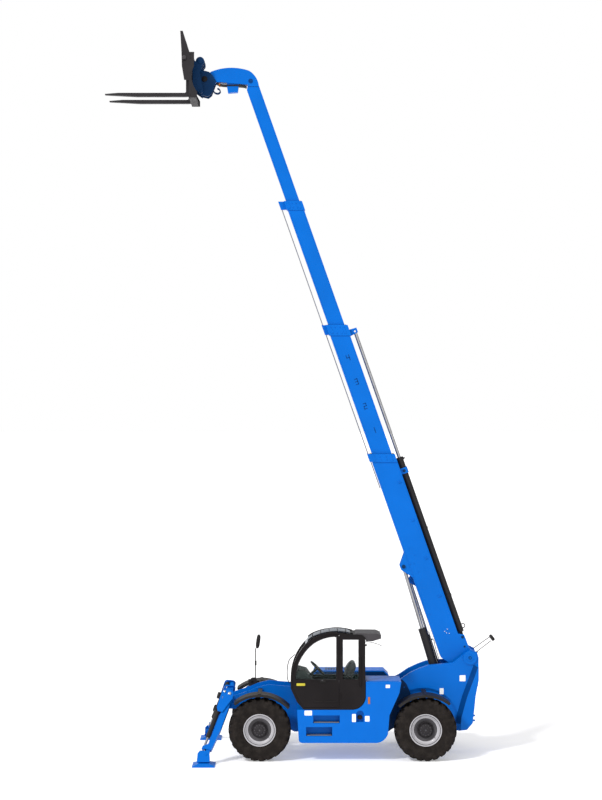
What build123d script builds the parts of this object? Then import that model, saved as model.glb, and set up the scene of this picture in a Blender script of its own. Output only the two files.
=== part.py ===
from build123d import *
import os
from math import sin, cos, tan, radians, degrees, hypot, atan2

os.makedirs("parts", exist_ok=True)

# Telehandler, millimetres. Frame: -X is the front of the machine, -Y its left (cab) side,
# +Z up. Origin on the ground, midway between the extremes in X.

# ---------------------------------------------------------------- driving dimensions
front_axle_x = -905
rear_axle_x = 2725
tyre_r = 685                 # 14.00-24 tyre
tyre_half_w = 187.5
wheel_y = 1048               # wheel centre plane
kingpin_y = 860
rim_bead_r = 305
rim_flange_r = 355

plate_in, plate_out = 300, 330      # inner and outer face of the frame side plates
tower_out = 390                     # outer face of the boom tower plates

pivot_x, pivot_z = 3766, 2158       # boom pivot
boom_deg = 70.6                     # boom angle as stored
boom_axis_z = -335                  # centre line of the boom tubes, in the boom's own frame
boom_wall = 10

cab_out, cab_in = -1220, -440       # outer and inner side faces of the cab
cab_wall = 55
sill_z = 1800                       # lower edge of the cab windows
b_post_x0, b_post_x1 = 835, 916     # gap at the door's hinge post
roof_z = 2830

hood_z0, hood_z1 = 1565, 1717       # engine hood
pod_y0, pod_y1 = 345, 1200          # engine pod
hood_y0 = 660                       # inner wall of the hood

tilt_x, tilt_z = -2157, 15090       # fork tilt pivot
fork_half_w = 640                   # half width of the carriage
tine_y = 475
tine_tip_x = -4354

ux, uz = -cos(radians(boom_deg)), sin(radians(boom_deg))
nx, nz = sin(radians(boom_deg)), cos(radians(boom_deg))
BOOM = Plane(origin=(pivot_x, 0, pivot_z), x_dir=(ux, 0, uz), z_dir=(0, 1, 0))
head_slant = tan(radians(90 - boom_deg))    # the tube mouths are cut level in the stored pose


def boom_point(along, up, y=0):
    return (pivot_x + along * ux + up * nx, y, pivot_z + along * uz + up * nz)


def side(y):
    """Plane of the side profiles (local x = X, local y = Z) at this Y; it extrudes toward -Y."""
    return Plane(origin=(0, y, 0), x_dir=(1, 0, 0), z_dir=(0, -1, 0))


def boom_side(y):
    """Plane of the boom profiles at this Y; it extrudes toward +Y."""
    return Plane(origin=(pivot_x, y, pivot_z), x_dir=(ux, 0, uz), z_dir=(0, 1, 0))


def outline(points, mode=Mode.ADD):
    """Closed straight-sided profile, at its own coordinates on the sketch's plane."""
    return Polygon(*points, align=None, mode=mode)


def bar_between(a, b, y_dir=(0, 1, 0)):
    """Plane whose origin is a and whose normal points from a to b."""
    d = Vector(*b) - Vector(*a)
    return Plane(origin=a, x_dir=y_dir, z_dir=(d.X, d.Y, d.Z))


def save(name, builder):
    builder.part.label = name
    export_step(builder.part, "parts/" + name + ".step")


# ---------------------------------------------------------------- wheels and knuckles
# corner table: name, axle x, side (-1 = left)
corners = [
    ("fl", front_axle_x, -1),
    ("fr", front_axle_x, 1),
    ("rl", rear_axle_x, -1),
    ("rr", rear_axle_x, 1),
]
# tyre half section: distance from centre plane, radius
tyre_section = [
    (150, rim_bead_r + 0.5), (151, 362), (174, 405), (tyre_half_w, 480),
    (tyre_half_w, 600), (176, 652), (140, tyre_r), 
]
# rim and hub section: distance outward from the centre plane, radius
rim_section = [
    (25, 0), (25, 105), (62, 105), (62, 283), (-168, 283), (-168, rim_flange_r),
    (-152, rim_flange_r), (-152, rim_bead_r), (152, rim_bead_r), (152, rim_flange_r),
    (168, rim_flange_r), (168, 334), (150, 318), (108, 283), (84, 262), (84, 140),
    (146, 140), (156, 128), (156, 62), (166, 50), (166, 0),
]
for tag, x, s in corners:
    centre = (x, s * wheel_y, tyre_r)
    wheel_plane = Plane(origin=centre, x_dir=(0, s, 0), z_dir=(s, 0, 0))
    spin = Axis(origin=centre, direction=(0, 1, 0))
    with BuildPart() as tyre:
        with BuildSketch(wheel_plane):
            outline(tyre_section + [(-w, r) for w, r in reversed(tyre_section)])
        revolve(axis=spin)
    save("tyre_" + tag, tyre)

    with BuildPart() as rim:
        with BuildSketch(wheel_plane):
            outline(rim_section)
        revolve(axis=spin)
    save("rim_" + tag, rim)

    knuckle_core = Plane(origin=(x, s * kingpin_y, tyre_r - 125), x_dir=(1, 0, 0), z_dir=(0, 0, 1))
    with BuildPart() as knuckle:
        with BuildSketch(knuckle_core):
            Circle(88)
        extrude(amount=250)
        with BuildSketch(Plane(origin=(x, s * kingpin_y, tyre_r - 190), x_dir=(1, 0, 0), z_dir=(0, 0, 1))):
            Circle(45)
        extrude(amount=380)
        with BuildSketch(Plane(origin=(x, s * kingpin_y, tyre_r), x_dir=(1, 0, 0), z_dir=(0, s, 0))):
            Circle(128)
        extrude(amount=200)
        arm_x = -1 if x < 0 else 1
        with BuildSketch(Plane(origin=(x, s * kingpin_y, tyre_r - 70), x_dir=(1, 0, 0), z_dir=(0, 0, 1))):
            outline([(0, -10 * s), (0, 60 * s), (-arm_x * 150, 40 * s), (-arm_x * 190, 5 * s), (-arm_x * 150, -20 * s)])
        extrude(amount=50)
    save("knuckle_" + tag, knuckle)

# ---------------------------------------------------------------- axles
for name, x, mirror_arm in (("front_axle", front_axle_x, -1), ("rear_axle", rear_axle_x, 1)):
    with BuildPart() as axle:
        with BuildSketch(Plane(origin=(x, -740, tyre_r), x_dir=(1, 0, 0), z_dir=(0, 1, 0))):
            Circle(82)
        extrude(amount=1480)
        for s in (-1, 1):
            with BuildSketch(Plane(origin=(x, 0, tyre_r), x_dir=(1, 0, 0), z_dir=(0, s, 0))):
                Circle(185)
            with BuildSketch(Plane(origin=(x, s * 380, tyre_r), x_dir=(1, 0, 0), z_dir=(0, s, 0))):
                Circle(95)
            loft()
            # C-shaped yoke around the knuckle
            with BuildSketch(Plane(origin=(x, s * 700, tyre_r), x_dir=(1, 0, 0), z_dir=(0, s, 0))):
                Rectangle(150, 380)
            extrude(amount=60)
            for z in (135, -185):
                with BuildSketch(Plane(origin=(x, 0, tyre_r + z), x_dir=(1, 0, 0), z_dir=(0, 0, 1))):
                    with Locations((0, s * 790)):
                        Rectangle(150, 180)
                    with Locations((0, s * kingpin_y)):
                        Circle(72)
                        Circle(46, mode=Mode.SUBTRACT)
                extrude(amount=50)
            # saddle that carries the frame
            with BuildSketch(Plane(origin=(x, s * (plate_in + 15), tyre_r + 60), x_dir=(1, 0, 0), z_dir=(0, 0, 1))):
                Rectangle(240, 110)
            extrude(amount=105)
        # steering cylinder on the axle
        with BuildSketch(Plane(origin=(x - mirror_arm * 150, -300, tyre_r - 45), x_dir=(1, 0, 0), z_dir=(0, 1, 0))):
            Circle(42)
        extrude(amount=600)
        with BuildSketch(Plane(origin=(x - mirror_arm * 150, -430, tyre_r - 45), x_dir=(1, 0, 0), z_dir=(0, 1, 0))):
            Circle(20)
        extrude(amount=860)
        for y in (-250, 190):
            with BuildSketch(Plane(origin=(x - mirror_arm * 90, y, tyre_r - 45), x_dir=(1, 0, 0), z_dir=(0, 1, 0))):
                Rectangle(150, 60)
            extrude(amount=60)
    save(name, axle)

# ---------------------------------------------------------------- outrigger geometry
# Each leg swings in its own inclined plane through its root: one axis forward (-X), the
# other down and outward. Coordinates in that plane are (forward, down).
leg_root_x, leg_root_y, leg_root_z = -1575, 690, 1365
leg_down_y, leg_down_z = 0.5848, 0.8111
leg_root = (0, 0)
leg_cyl_root = (110, -50)       # upper pin of the outrigger cylinder
leg_foot = (475, 1436)          # foot pin
leg_cyl_foot = (545, 1290)      # lower pin of the cylinder, on the leg
leg_cheek = [(-80, -10), (-64, -50), (-25, -80), (40, -93), (130, -97), (165, -62), (185, -10), (275, 330), (255, 420),
             (150, 440), (60, 300), (-65, 120)]
leg_len = hypot(*leg_foot)
leg_t = (leg_foot[0] / leg_len, leg_foot[1] / leg_len)


def leg_plane(s, offset=0):
    """Swing plane of the leg on side s, shifted along its normal."""
    normal = Vector(0, -leg_down_z, -s * leg_down_y)
    origin = Vector(leg_root_x, s * leg_root_y, leg_root_z) + normal * offset
    return Plane(origin=origin, x_dir=(-1, 0, 0), z_dir=normal)


def leg_point(s, pin):
    return (leg_root_x - pin[0], s * (leg_root_y + pin[1] * leg_down_y), leg_root_z - pin[1] * leg_down_z)


def along_leg(distance, height):
    """Point in the swing plane at a distance along the leg and a height toward its front."""
    return (distance * leg_t[0] + height * leg_t[1], distance * leg_t[1] - height * leg_t[0])


# ---------------------------------------------------------------- chassis frame
# side plate outline (X, Z), from the nose rearward over the top and back underneath
frame_plate = [
    (-1740, 1010), (-1740, 1150), (-1640, 1235), (-1517, 1296), (-1161, 1410), (-983, 1488),
    (-719, 1555), (-490, 1528), (-256, 1512), (1500, 1480), (1960, 1570), (2214, 1680),
    (2425, 1822), (2647, 1924), (2832, 1990), (3386, 2044), (3640, 2250), (3790, 2340),
    (3922, 2276), (3958, 2160), (3958, 1675), (3890, 1320), (3861, 1031), (3824, 720),
    (3668, 542), (3437, 520), (3160, 700), (3060, 850), (2390, 850), (2150, 640),
    (1950, 500), (-150, 500), (-420, 640), (-560, 850), (-1250, 850), (-1450, 1010),
]
tower_plate = [
    (2214, 1680), (2425, 1822), (2647, 1924), (2832, 1990), (3386, 2044), (3640, 2250),
    (3790, 2340), (3922, 2276), (3958, 2160), (3958, 1675), (3890, 1320), (3861, 1031),
    (3824, 720), (3668, 542), (3437, 520), (2214, 900),
]
# cross members between the side plates: x0, x1, z0, z1
cross_members = [
    (-1740, -1580, 1010, 1180),
    (-650, -560, 860, 1010),
    (-150, 1900, 500, 516),
    (-60, -40, 516, 780),
    (1900, 1920, 500, 800),
    (3120, 3360, 760, 960),
    (3650, 3670, 560, 1500),
]
lift_pin = (3206, -105, 1150)
comp_pin = (3330, 140, 1170)
with BuildPart() as chassis_frame:
    for s in (-1, 1):
        with BuildSketch(side(-plate_in if s < 0 else plate_out)):
            outline(frame_plate)
        extrude(amount=plate_out - plate_in)
        with BuildSketch(side(-plate_out if s < 0 else tower_out)):
            outline(tower_plate)
            with Locations((rear_axle_x, tyre_r)):
                Circle(800, mode=Mode.SUBTRACT)
        extrude(amount=tower_out - plate_out)
        # boss of the boom pivot
        with BuildSketch(side(-tower_out if s < 0 else tower_out + 30)):
            with Locations((pivot_x, pivot_z)):
                Circle(150)
        extrude(amount=30)
    for x0, x1, z0, z1 in cross_members:
        with BuildSketch(side(plate_in)):
            with Locations(((x0 + x1) / 2, (z0 + z1) / 2)):
                Rectangle(x1 - x0, z1 - z0)
        extrude(amount=2 * plate_in)
    # boom pivot pin
    with BuildSketch(side(plate_in)):
        with Locations((pivot_x, pivot_z)):
            Circle(80)
    extrude(amount=2 * plate_in)
    # lugs of the lift and compensation cylinders, on the rear cross member
    for px, py, pz, half, thick in (lift_pin + (60, 30), comp_pin + (54, 20)):
        for y in (py + half + thick, py - half):
            with BuildSketch(side(y)):
                outline([(px - 110, 940), (px - 58, pz), (px + 58, pz), (px + 90, 940)])
                with Locations((px, pz)):
                    Circle(70)
            extrude(amount=thick)
    # front outrigger arms: a box arm, then two bracket cheeks that hold leg and cylinder
    for s in (-1, 1):
        with BuildSketch(Plane(origin=(-1690, 0, 0), x_dir=(0, 1, 0), z_dir=(1, 0, 0))):
            outline([(s * plate_out, 1120), (s * 755, 1120), (s * 602, 1340), (s * plate_out, 1340)])
        extrude(amount=150)
        for a, b in ((-92, -70), (70, 92)):
            with BuildSketch(leg_plane(s, a)):
                outline(leg_cheek)
            extrude(amount=b - a)
        for pin, r in ((leg_root, 30), (leg_cyl_root, 22)):
            with BuildSketch(leg_plane(s, -104)):
                with Locations(pin):
                    Circle(r)
            extrude(amount=208)
    # rear tow bracket: two ears with a pin bore
    for z in (680, 790):
        with BuildSketch(Plane(origin=(0, 0, z), x_dir=(1, 0, 0), z_dir=(0, 0, 1))):
            with Locations((3745, 0)):
                Rectangle(188, 160)
            with Locations((3839, 0)):
                Circle(80)
                Circle(16, mode=Mode.SUBTRACT)
        extrude(amount=25)
save("chassis_frame", chassis_frame)

# ---------------------------------------------------------------- counterweight
# cheek outline against the tower plate (X, Z) and the outline 120 mm further out
cheek_in = [
    (3465, 850), (3590, 1300), (3740, 1700), (3850, 2000), (3956, 2000), (3956, 1675),
    (3888, 1320), (3859, 1031), (3822, 720), (3666, 547), (3470, 547), (3450, 700),
]
cheek_out = [
    (3565, 850), (3690, 1300), (3840, 1700), (3930, 1960), (3950, 1960), (3950, 1675),
    (3882, 1320), (3853, 1031), (3816, 720), (3690, 570), (3560, 570), (3550, 700),
]
with BuildPart() as counterweight:
    for s in (-1, 1):
        with BuildSketch(side(s * tower_out)):
            outline(cheek_in)
        with BuildSketch(side(s * (tower_out + 120))):
            outline(cheek_out)
        loft()
    # main casting between the frame plates
    with BuildSketch(side(plate_in)):
        outline([(3440, 560), (3648, 560), (3648, 1400), (3440, 1180)])
    extrude(amount=2 * plate_in)
save("counterweight", counterweight)

# ---------------------------------------------------------------- left body with the tank
tank_out, tank_in = -1212, -plate_out
tank_profile = [
    (1120, 1135), (-87, 1135), (-50, 470), (-25, 425), (30, 409), (1616, 409),
]
tank_profile_rear = [(1900, 606), (1933, 1020), (2149, 1501), (2190, 1745), (1418, 1745), (1418, 1450)]
tank_wall = 10
# step recesses and filler pocket: x0, x1, z0, z1, depth
recesses = [
    (266, 845, 841, 1012, 160),
    (111, 681, 561, 758, 200),
    (1208, 1369, 868, 1040, 90),
]
with BuildPart() as tank_void:
    with BuildSketch(side(tank_in - tank_wall)):
        outline([(1100, 1120), (-60, 1120), (-38, 480), (-10, 432), (34, 421), (1612, 421),
                 (1760, 500), (1880, 624), (1921, 1025), (2137, 1505), (2176, 1733),
                 (1432, 1733), (1432, 1400), (1340, 1210)])
    extrude(amount=tank_in - tank_out - 2 * tank_wall)
    for x0, x1, z0, z1, depth in recesses:
        top = z1 + (90 if depth == 90 else 0)
        with BuildSketch(side(tank_out + depth + tank_wall)):
            with Locations(((x0 + x1) / 2, (z0 + top) / 2)):
                Rectangle(x1 - x0 + 2 * tank_wall, top - z0 + 2 * tank_wall)
        extrude(amount=depth + tank_wall, mode=Mode.SUBTRACT)
with BuildPart() as side_tank:
    with BuildSketch(side(tank_in)):
        with BuildLine():
            Polyline(*tank_profile)
            ThreePointArc((1616, 409), (1795, 462), (1900, 606))
            Polyline(*tank_profile_rear)
            ThreePointArc((1418, 1450), (1325, 1216), (1120, 1135))
        make_face()
    extrude(amount=tank_in - tank_out)
    # raised cover behind the cab
    with BuildSketch(Plane(origin=(1440, 0, 0), x_dir=(0, 1, 0), z_dir=(1, 0, 0))):
        outline([(tank_out + 60, 1745), (tank_out + 75, 1757), (tank_in - 55, 1757), (tank_in - 40, 1745)])
    extrude(amount=700)
    for x0, x1, z0, z1, depth in recesses:
        with BuildSketch(side(tank_out + depth)):
            with Locations(((x0 + x1) / 2, (z0 + z1) / 2)):
                Rectangle(x1 - x0, z1 - z0)
            if depth == 90:
                with Locations(((x0 + x1) / 2, z1)):
                    Circle((x1 - x0) / 2)
        extrude(amount=depth, mode=Mode.SUBTRACT)
    add(tank_void.part, mode=Mode.SUBTRACT)
save("side_tank", side_tank)

# ---------------------------------------------------------------- cab
# Cab side outline as arcs and lines, clockwise from the front foot. Each corner arc is
# start, middle, end.
def arch(front_x, rear_x, z_low, z_top, grow):
    """Corner points of the cab outline, moved outward by grow."""
    g = grow
    return {
        "foot": (-87 - g * 0.9, 1300 - g * 0.6), "knee": (-225 - g, 1600),
        "brow": (front_x - g, 1720),
        "bulge": (-95 - g * 0.85, 2290 + g * 0.5), "shoulder": (190 - g * 0.6, 2640 + g * 0.8),
        "crest": (430 - g * 0.2, 2772 + g), "crown": (720, z_top + g),
        "top_rear": (rear_x - 60, z_top - 75 + g), "rear_top": (rear_x + g, z_top - 140),
        "rear_low": (rear_x + g, 1450), "heel": (1315 + g * 0.7, 1225 - g * 0.7),
        "floor_rear": (1120, z_low - g), "floor_front": (60, z_low - g),
    }


cab_body = arch(-228, 1405, 1143, roof_z, 0)
cab_void = arch(-228, 1405, 1143, roof_z, -cab_wall)


def arch_wire(p):
    Line(p["floor_front"], p["foot"])
    Line(p["foot"], p["knee"])
    Line(p["knee"], p["brow"])
    ThreePointArc(p["brow"], p["bulge"], p["shoulder"])
    ThreePointArc(p["shoulder"], p["crest"], p["crown"])
    Line(p["crown"], p["top_rear"])
    Line(p["top_rear"], p["rear_top"])
    Line(p["rear_top"], p["rear_low"])
    ThreePointArc(p["rear_low"], p["heel"], p["floor_rear"])
    Line(p["floor_rear"], p["floor_front"])


# door opening in the left wall: same arch, in front of the hinge post
door_gap = 6
door_hole = arch(-228, 1405, 1143, roof_z, -42)
door_leaf = arch(-228, 1405, 1143, roof_z, -42 - door_gap)
door_pane = arch(-228, 1405, 1143, roof_z, -42 - door_gap - 55)
quarter_hole = arch(-228, 1405, 1143, roof_z, -105)

with BuildPart() as cab_shell:
    with BuildSketch(side(cab_in)):
        with BuildLine():
            arch_wire(cab_body)
        make_face()
    extrude(amount=cab_in - cab_out)
    with BuildSketch(side(cab_in - cab_wall)):
        with BuildLine():
            arch_wire(cab_void)
        make_face()
    extrude(amount=cab_in - cab_out - 2 * cab_wall, mode=Mode.SUBTRACT)
    # door opening, in front of the hinge post
    with BuildSketch(side(cab_out + cab_wall)):
        with BuildLine():
            arch_wire(door_hole)
        make_face()
        with Locations((b_post_x0 + 500, 2000)):
            Rectangle(1000, 2000, mode=Mode.SUBTRACT)
    extrude(amount=cab_wall, mode=Mode.SUBTRACT)
    # rear quarter window
    with BuildSketch(side(cab_out + cab_wall)):
        with Locations(((b_post_x1 + 1254) / 2, (sill_z + 2665) / 2)):
            Rectangle(1254 - b_post_x1, 2665 - sill_z)
    extrude(amount=cab_wall, mode=Mode.SUBTRACT)
    # right-hand window, over the whole length above the sill
    with BuildSketch(side(cab_in)):
        with BuildLine():
            arch_wire(quarter_hole)
        make_face()
        with Locations((600, sill_z - 500)):
            Rectangle(3000, 1000, mode=Mode.SUBTRACT)
    extrude(amount=cab_wall, mode=Mode.SUBTRACT)
    # windscreen and roof glass opening, right over the arch
    with BuildSketch(Plane(origin=(-300, 0, 0), x_dir=(0, 1, 0), z_dir=(1, 0, 0))):
        with Locations(((cab_in + cab_out) / 2, (sill_z + 2900) / 2)):
            Rectangle(cab_in - cab_out - 2 * 60, 2900 - sill_z)
    extrude(amount=1350, mode=Mode.SUBTRACT)
    # rear window
    with BuildSketch(Plane(origin=(1340, 0, 0), x_dir=(0, 1, 0), z_dir=(1, 0, 0))):
        with Locations(((cab_in + cab_out) / 2, 2240)):
            Rectangle(cab_in - cab_out - 2 * 90, 700)
    extrude(amount=100, mode=Mode.SUBTRACT)
save("cab_shell", cab_shell)

# door leaf, hinged on the post behind it, with its window cut
with BuildPart() as cab_door:
    with BuildSketch(side(cab_out + cab_wall - 3)):
        with BuildLine():
            arch_wire(door_leaf)
        make_face()
        with Locations((b_post_x0 - door_gap + 500, 2000)):
            Rectangle(1000, 2000, mode=Mode.SUBTRACT)
    extrude(amount=cab_wall)
    with BuildSketch(side(cab_out + cab_wall)):
        with BuildLine():
            arch_wire(door_pane)
        make_face()
        with Locations((b_post_x0 - door_gap - 60 + 500, 2000)):
            Rectangle(1000, 2000, mode=Mode.SUBTRACT)
        with Locations((500, sill_z - 500)):
            Rectangle(3000, 1000, mode=Mode.SUBTRACT)
    extrude(amount=cab_wall + 10, mode=Mode.SUBTRACT)
    # outside hinge knuckles
    for z in (1400, 2380):
        with BuildSketch(Plane(origin=(0, 0, z), x_dir=(1, 0, 0), z_dir=(0, 0, 1))):
            with Locations((862, cab_out - 16)):
                Circle(11)
            with Locations((842, cab_out - 9)):
                Rectangle(40, 10)
            with Locations((824, cab_out + 5)):
                Rectangle(8, 34)
        extrude(amount=70)
save("cab_door", cab_door)

with BuildPart() as door_glass:
    with BuildSketch(side(cab_out + 30)):
        with BuildLine():
            arch_wire(door_pane)
        make_face()
        with Locations((b_post_x0 - door_gap - 60 + 500, 2000)):
            Rectangle(1000, 2000, mode=Mode.SUBTRACT)
        with Locations((500, sill_z - 500)):
            Rectangle(3000, 1000, mode=Mode.SUBTRACT)
    extrude(amount=6)
save("door_glass", door_glass)

# fixed panes: rear quarter, right side, rear, and the bent windscreen that runs over the roof
glass_outer = arch(-228, 1405, 1143, roof_z, -14)
glass_inner = arch(-228, 1405, 1143, roof_z, -22)
with BuildPart() as cab_glass:
    with BuildSketch(side(cab_out + 30)):
        with Locations(((b_post_x1 + 1254) / 2, (sill_z + 2665) / 2)):
            Rectangle(1254 - b_post_x1, 2665 - sill_z)
    extrude(amount=6)
    with BuildSketch(side(cab_in - 22)):
        with BuildLine():
            arch_wire(quarter_hole)
        make_face()
        with Locations((600, sill_z - 500)):
            Rectangle(3000, 1000, mode=Mode.SUBTRACT)
    extrude(amount=6)
    with BuildSketch(Plane(origin=(1370, 0, 0), x_dir=(0, 1, 0), z_dir=(1, 0, 0))):
        with Locations(((cab_in + cab_out) / 2, 2240)):
            Rectangle(cab_in - cab_out - 2 * 90, 700)
    extrude(amount=6)
with BuildPart() as bent_pane:
    with BuildSketch(side(cab_in - 60)):
        with BuildLine():
            arch_wire(glass_outer)
        make_face()
    extrude(amount=cab_in - cab_out - 120)
    with BuildSketch(side(cab_in - 60)):
        with BuildLine():
            arch_wire(glass_inner)
        make_face()
    extrude(amount=cab_in - cab_out - 120, mode=Mode.SUBTRACT)
    with BuildSketch(side(0)):
        with Locations((600, sill_z - 750)):
            Rectangle(3000, 1500)
        with Locations((1050 + 500, 2000)):
            Rectangle(1000, 3000)
    extrude(amount=1400, mode=Mode.SUBTRACT)
with BuildPart() as cab_glass_all:
    add(cab_glass.part)
    add(bent_pane.part)
save("cab_glass", cab_glass_all)

# roof box over the rear of the cab
with BuildPart() as roof_visor:
    with BuildSketch(side(cab_in - 30)):
        outline([(1180, roof_z - 50.8), (1215, 2802), (1650, 2798), (1752, 2755), (1750, 2684),
                 (1560, 2628), (1425, 2628), (1412, 2650), (1412, roof_z - 139), (1350, roof_z - 71)])
    extrude(amount=cab_in - cab_out - 60)
save("roof_visor", roof_visor)

# seat: pedestal, cushion and backrest, side by side along X; profile outlines (X, Z)
seat_parts = [
    ("pedestal", 300, [(740, 1200), (980, 1200), (1000, 1560), (740, 1560)]),
    ("cushion", 480, [(660, 1562), (1090, 1562), (1080, 1690), (700, 1700), (655, 1660)]),
    ("backrest", 440, [(985, 1692), (1130, 1692), (1150, 1878), (1214, 2018), (1202, 2150), (1112, 2172), (1056, 2118), (976, 2005), (952, 1900)]),
]
seat_y = -820
with BuildPart() as cab_seat:
    for name, width, points in seat_parts:
        with BuildSketch(side(seat_y + width / 2)):
            outline(points)
        extrude(amount=width)
save("cab_seat", cab_seat)

# dashboard, steering column and wheel
with BuildPart() as cab_console:
    with BuildSketch(side(cab_in - cab_wall - 5)):
        outline([(-150, 1640), (-150, 1860), (-60, 2010), (120, 1960), (250, 1780), (140, 1640)])
    extrude(amount=cab_in - cab_out - 2 * cab_wall - 10)
    with BuildSketch(side(seat_y + 130)):
        outline([(60, 1201), (200, 1201), (120, 1645), (-60, 1645)])
    extrude(amount=260)
    with BuildSketch(bar_between((150, seat_y, 1780), (352, seat_y, 1985))):
        Circle(32)
    extrude(amount=288)
save("cab_console", cab_console)
wheel_hub = Vector(356, seat_y, 1989)
wheel_dir = Vector(202, 0, 205).normalized()
with BuildPart() as steering_wheel:
    with BuildSketch(Plane(origin=wheel_hub - wheel_dir * 0, x_dir=(0, 1, 0), z_dir=wheel_dir)):
        Circle(48)
        for a in (0, 120, 240):
            with Locations(Rotation(0, 0, a)):
                with Locations((95, 0)):
                    Rectangle(190, 30)
    extrude(amount=16)
    with BuildSketch(Plane(origin=wheel_hub + wheel_dir * 8, x_dir=(0, 1, 0), z_dir=wheel_dir.cross(Vector(0, 1, 0)))):
        with Locations((190, 0)):
            Circle(16)
    revolve(axis=Axis(origin=wheel_hub, direction=wheel_dir))
save("steering_wheel", steering_wheel)

# ---------------------------------------------------------------- engine pod on the right side
pod_profile = [
    (270, 1555), (270, 760), (420, 620), (1820, 620), (1905, 700), (1925, 1020), (1990, 1190),
    (1990, 1420), (1900, 1555),
]
pod_wall = 30
with BuildPart() as engine_pod:
    with BuildSketch(side(pod_y1)):
        outline(pod_profile)
    extrude(amount=pod_y1 - pod_y0)
    with BuildSketch(side(pod_y1 - pod_wall)):
        outline([(300, 1600), (300, 772), (432, 650), (1806, 650), (1876, 712), (1896, 1028),
                 (1960, 1196), (1960, 1412), (1880, 1600)])
    extrude(amount=pod_y1 - pod_y0 - 2 * pod_wall, mode=Mode.SUBTRACT)
    # deck between the hood and the frame
    with BuildSketch(Plane(origin=(272, 0, 0), x_dir=(0, 1, 0), z_dir=(1, 0, 0))):
        outline([(pod_y0, 1525), (hood_y0 - 25, 1525), (hood_y0 - 25, 1555), (pod_y0, 1555)])
    extrude(amount=1630)
save("engine_pod", engine_pod)

with BuildPart() as engine_block:
    with BuildSketch(Plane(origin=(0, 0, 652), x_dir=(1, 0, 0), z_dir=(0, 0, 1))):
        with Locations((1060, 820)):
            Rectangle(980, 520)
    extrude(amount=760)
save("engine_block", engine_block)

# lid of the pod: a shallow hollow cover, sloping down at its rear
with BuildPart() as engine_hood:
    with BuildSketch(side(pod_y1)):
        outline([(270, hood_z0), (300, hood_z1), (1900, hood_z1), (2005, 1615), (2005, hood_z0)])
    extrude(amount=pod_y1 - hood_y0)
    with BuildSketch(side(pod_y1 - 20)):
        outline([(290, hood_z0 - 5), (318, hood_z1 - 16), (1893, hood_z1 - 16), (1987, 1608), (1987, hood_z0 - 5)])
    extrude(amount=pod_y1 - hood_y0 - 40, mode=Mode.SUBTRACT)
    # hinge knuckles along the inner wall's foot
    for x in (480, 1080, 1640):
        with BuildSketch(Plane(origin=(x, 0, 0), x_dir=(0, 1, 0), z_dir=(1, 0, 0))):
            with Locations((hood_y0 - 8, hood_z0 + 11)):
                Circle(9)
        extrude(amount=110)
save("engine_hood", engine_hood)

# ---------------------------------------------------------------- fenders
# wheel, axle x, height of the arc centre above the hub, inner radius, arc from / to in
# degrees from the top (rearward positive), depth of the inner and of the outer lip
fender_table = [
    ("front", front_axle_x, -129, 900, -38, 46, 50, 40),
    ("rear", rear_axle_x, -105, 866, -43, 38, 40, 40),
]
fender_t = 12


def arc_band(cx, cz, r1, r2, a0, a1):
    """Outline of a band between two radii, angles in degrees from the top."""
    at = lambda r, a: (cx + r * sin(radians(a)), cz + r * cos(radians(a)))
    am = (a0 + a1) / 2
    ThreePointArc(at(r1, a0), at(r1, am), at(r1, a1))
    Line(at(r1, a1), at(r2, a1))
    ThreePointArc(at(r2, a1), at(r2, am), at(r2, a0))
    Line(at(r2, a0), at(r1, a0))


with BuildPart() as fenders:
    for name, x, rise, radius, a0, a1, lip_in, lip_out in fender_table:
        for s in (-1, 1):
            cx, cz = x, tyre_r + rise
            # plate, inner lip and outer lip: far face, width, inner radius
            for y, w, r1 in (
                (1245 if s > 0 else -800, 445, radius),
                (808 if s > 0 else -800, 8, radius - lip_in),
                (1245 if s > 0 else -1237, 8, radius - lip_out),
            ):
                with BuildSketch(side(y)):
                    with BuildLine():
                        arc_band(cx, cz, r1, radius + fender_t, a0, a1)
                    make_face()
                extrude(amount=w)
            # stay that carries it from the frame
            reach = (plate_out if name == "front" else tower_out) + 0.5
            with BuildSketch(side(805 if s > 0 else -reach)):
                with Locations((cx, cz + radius - 18)):
                    Rectangle(90, 60)
            extrude(amount=805 - reach)
            # outer skirt bracket on top
            with BuildSketch(side(1235 if s > 0 else -800)):
                with Locations((cx, cz + radius + fender_t + 4)):
                    Rectangle(60, 20)
            extrude(amount=435)
save("fenders", fenders)

# ---------------------------------------------------------------- mirrors
# points of the arm, head centre, head size (X, Y, Z)
mirror_table = [
    ("front", [(-1042, plate_out + 6, 1400), (-1042, 900, 1560), (-1042, 900, 2220)], (-985, 900, 2350), (120, 70, 340)),
    ("rear", [(3831, -360, 2350), (4200, -360, 2612)], (4262, -360, 2600), (150, 190, 196)),
]
with BuildPart() as mirrors:
    for name, path, head, size in mirror_table:
        for a, b in zip(path, path[1:]):
            d = Vector(*b) - Vector(*a)
            flat = (1, 0, 0) if abs(d.X) < 1 else (0, 1, 0)
            with BuildSketch(bar_between(a, b, flat)):
                Circle(13)
            extrude(amount=d.length)
            with Locations(b):
                Sphere(15)
        with BuildSketch(Plane(origin=(head[0], head[1], head[2] - size[2] / 2), x_dir=(1, 0, 0), z_dir=(0, 0, 1))):
            Rectangle(size[0], size[1])
        extrude(amount=size[2])
save("mirrors", mirrors)

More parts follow.
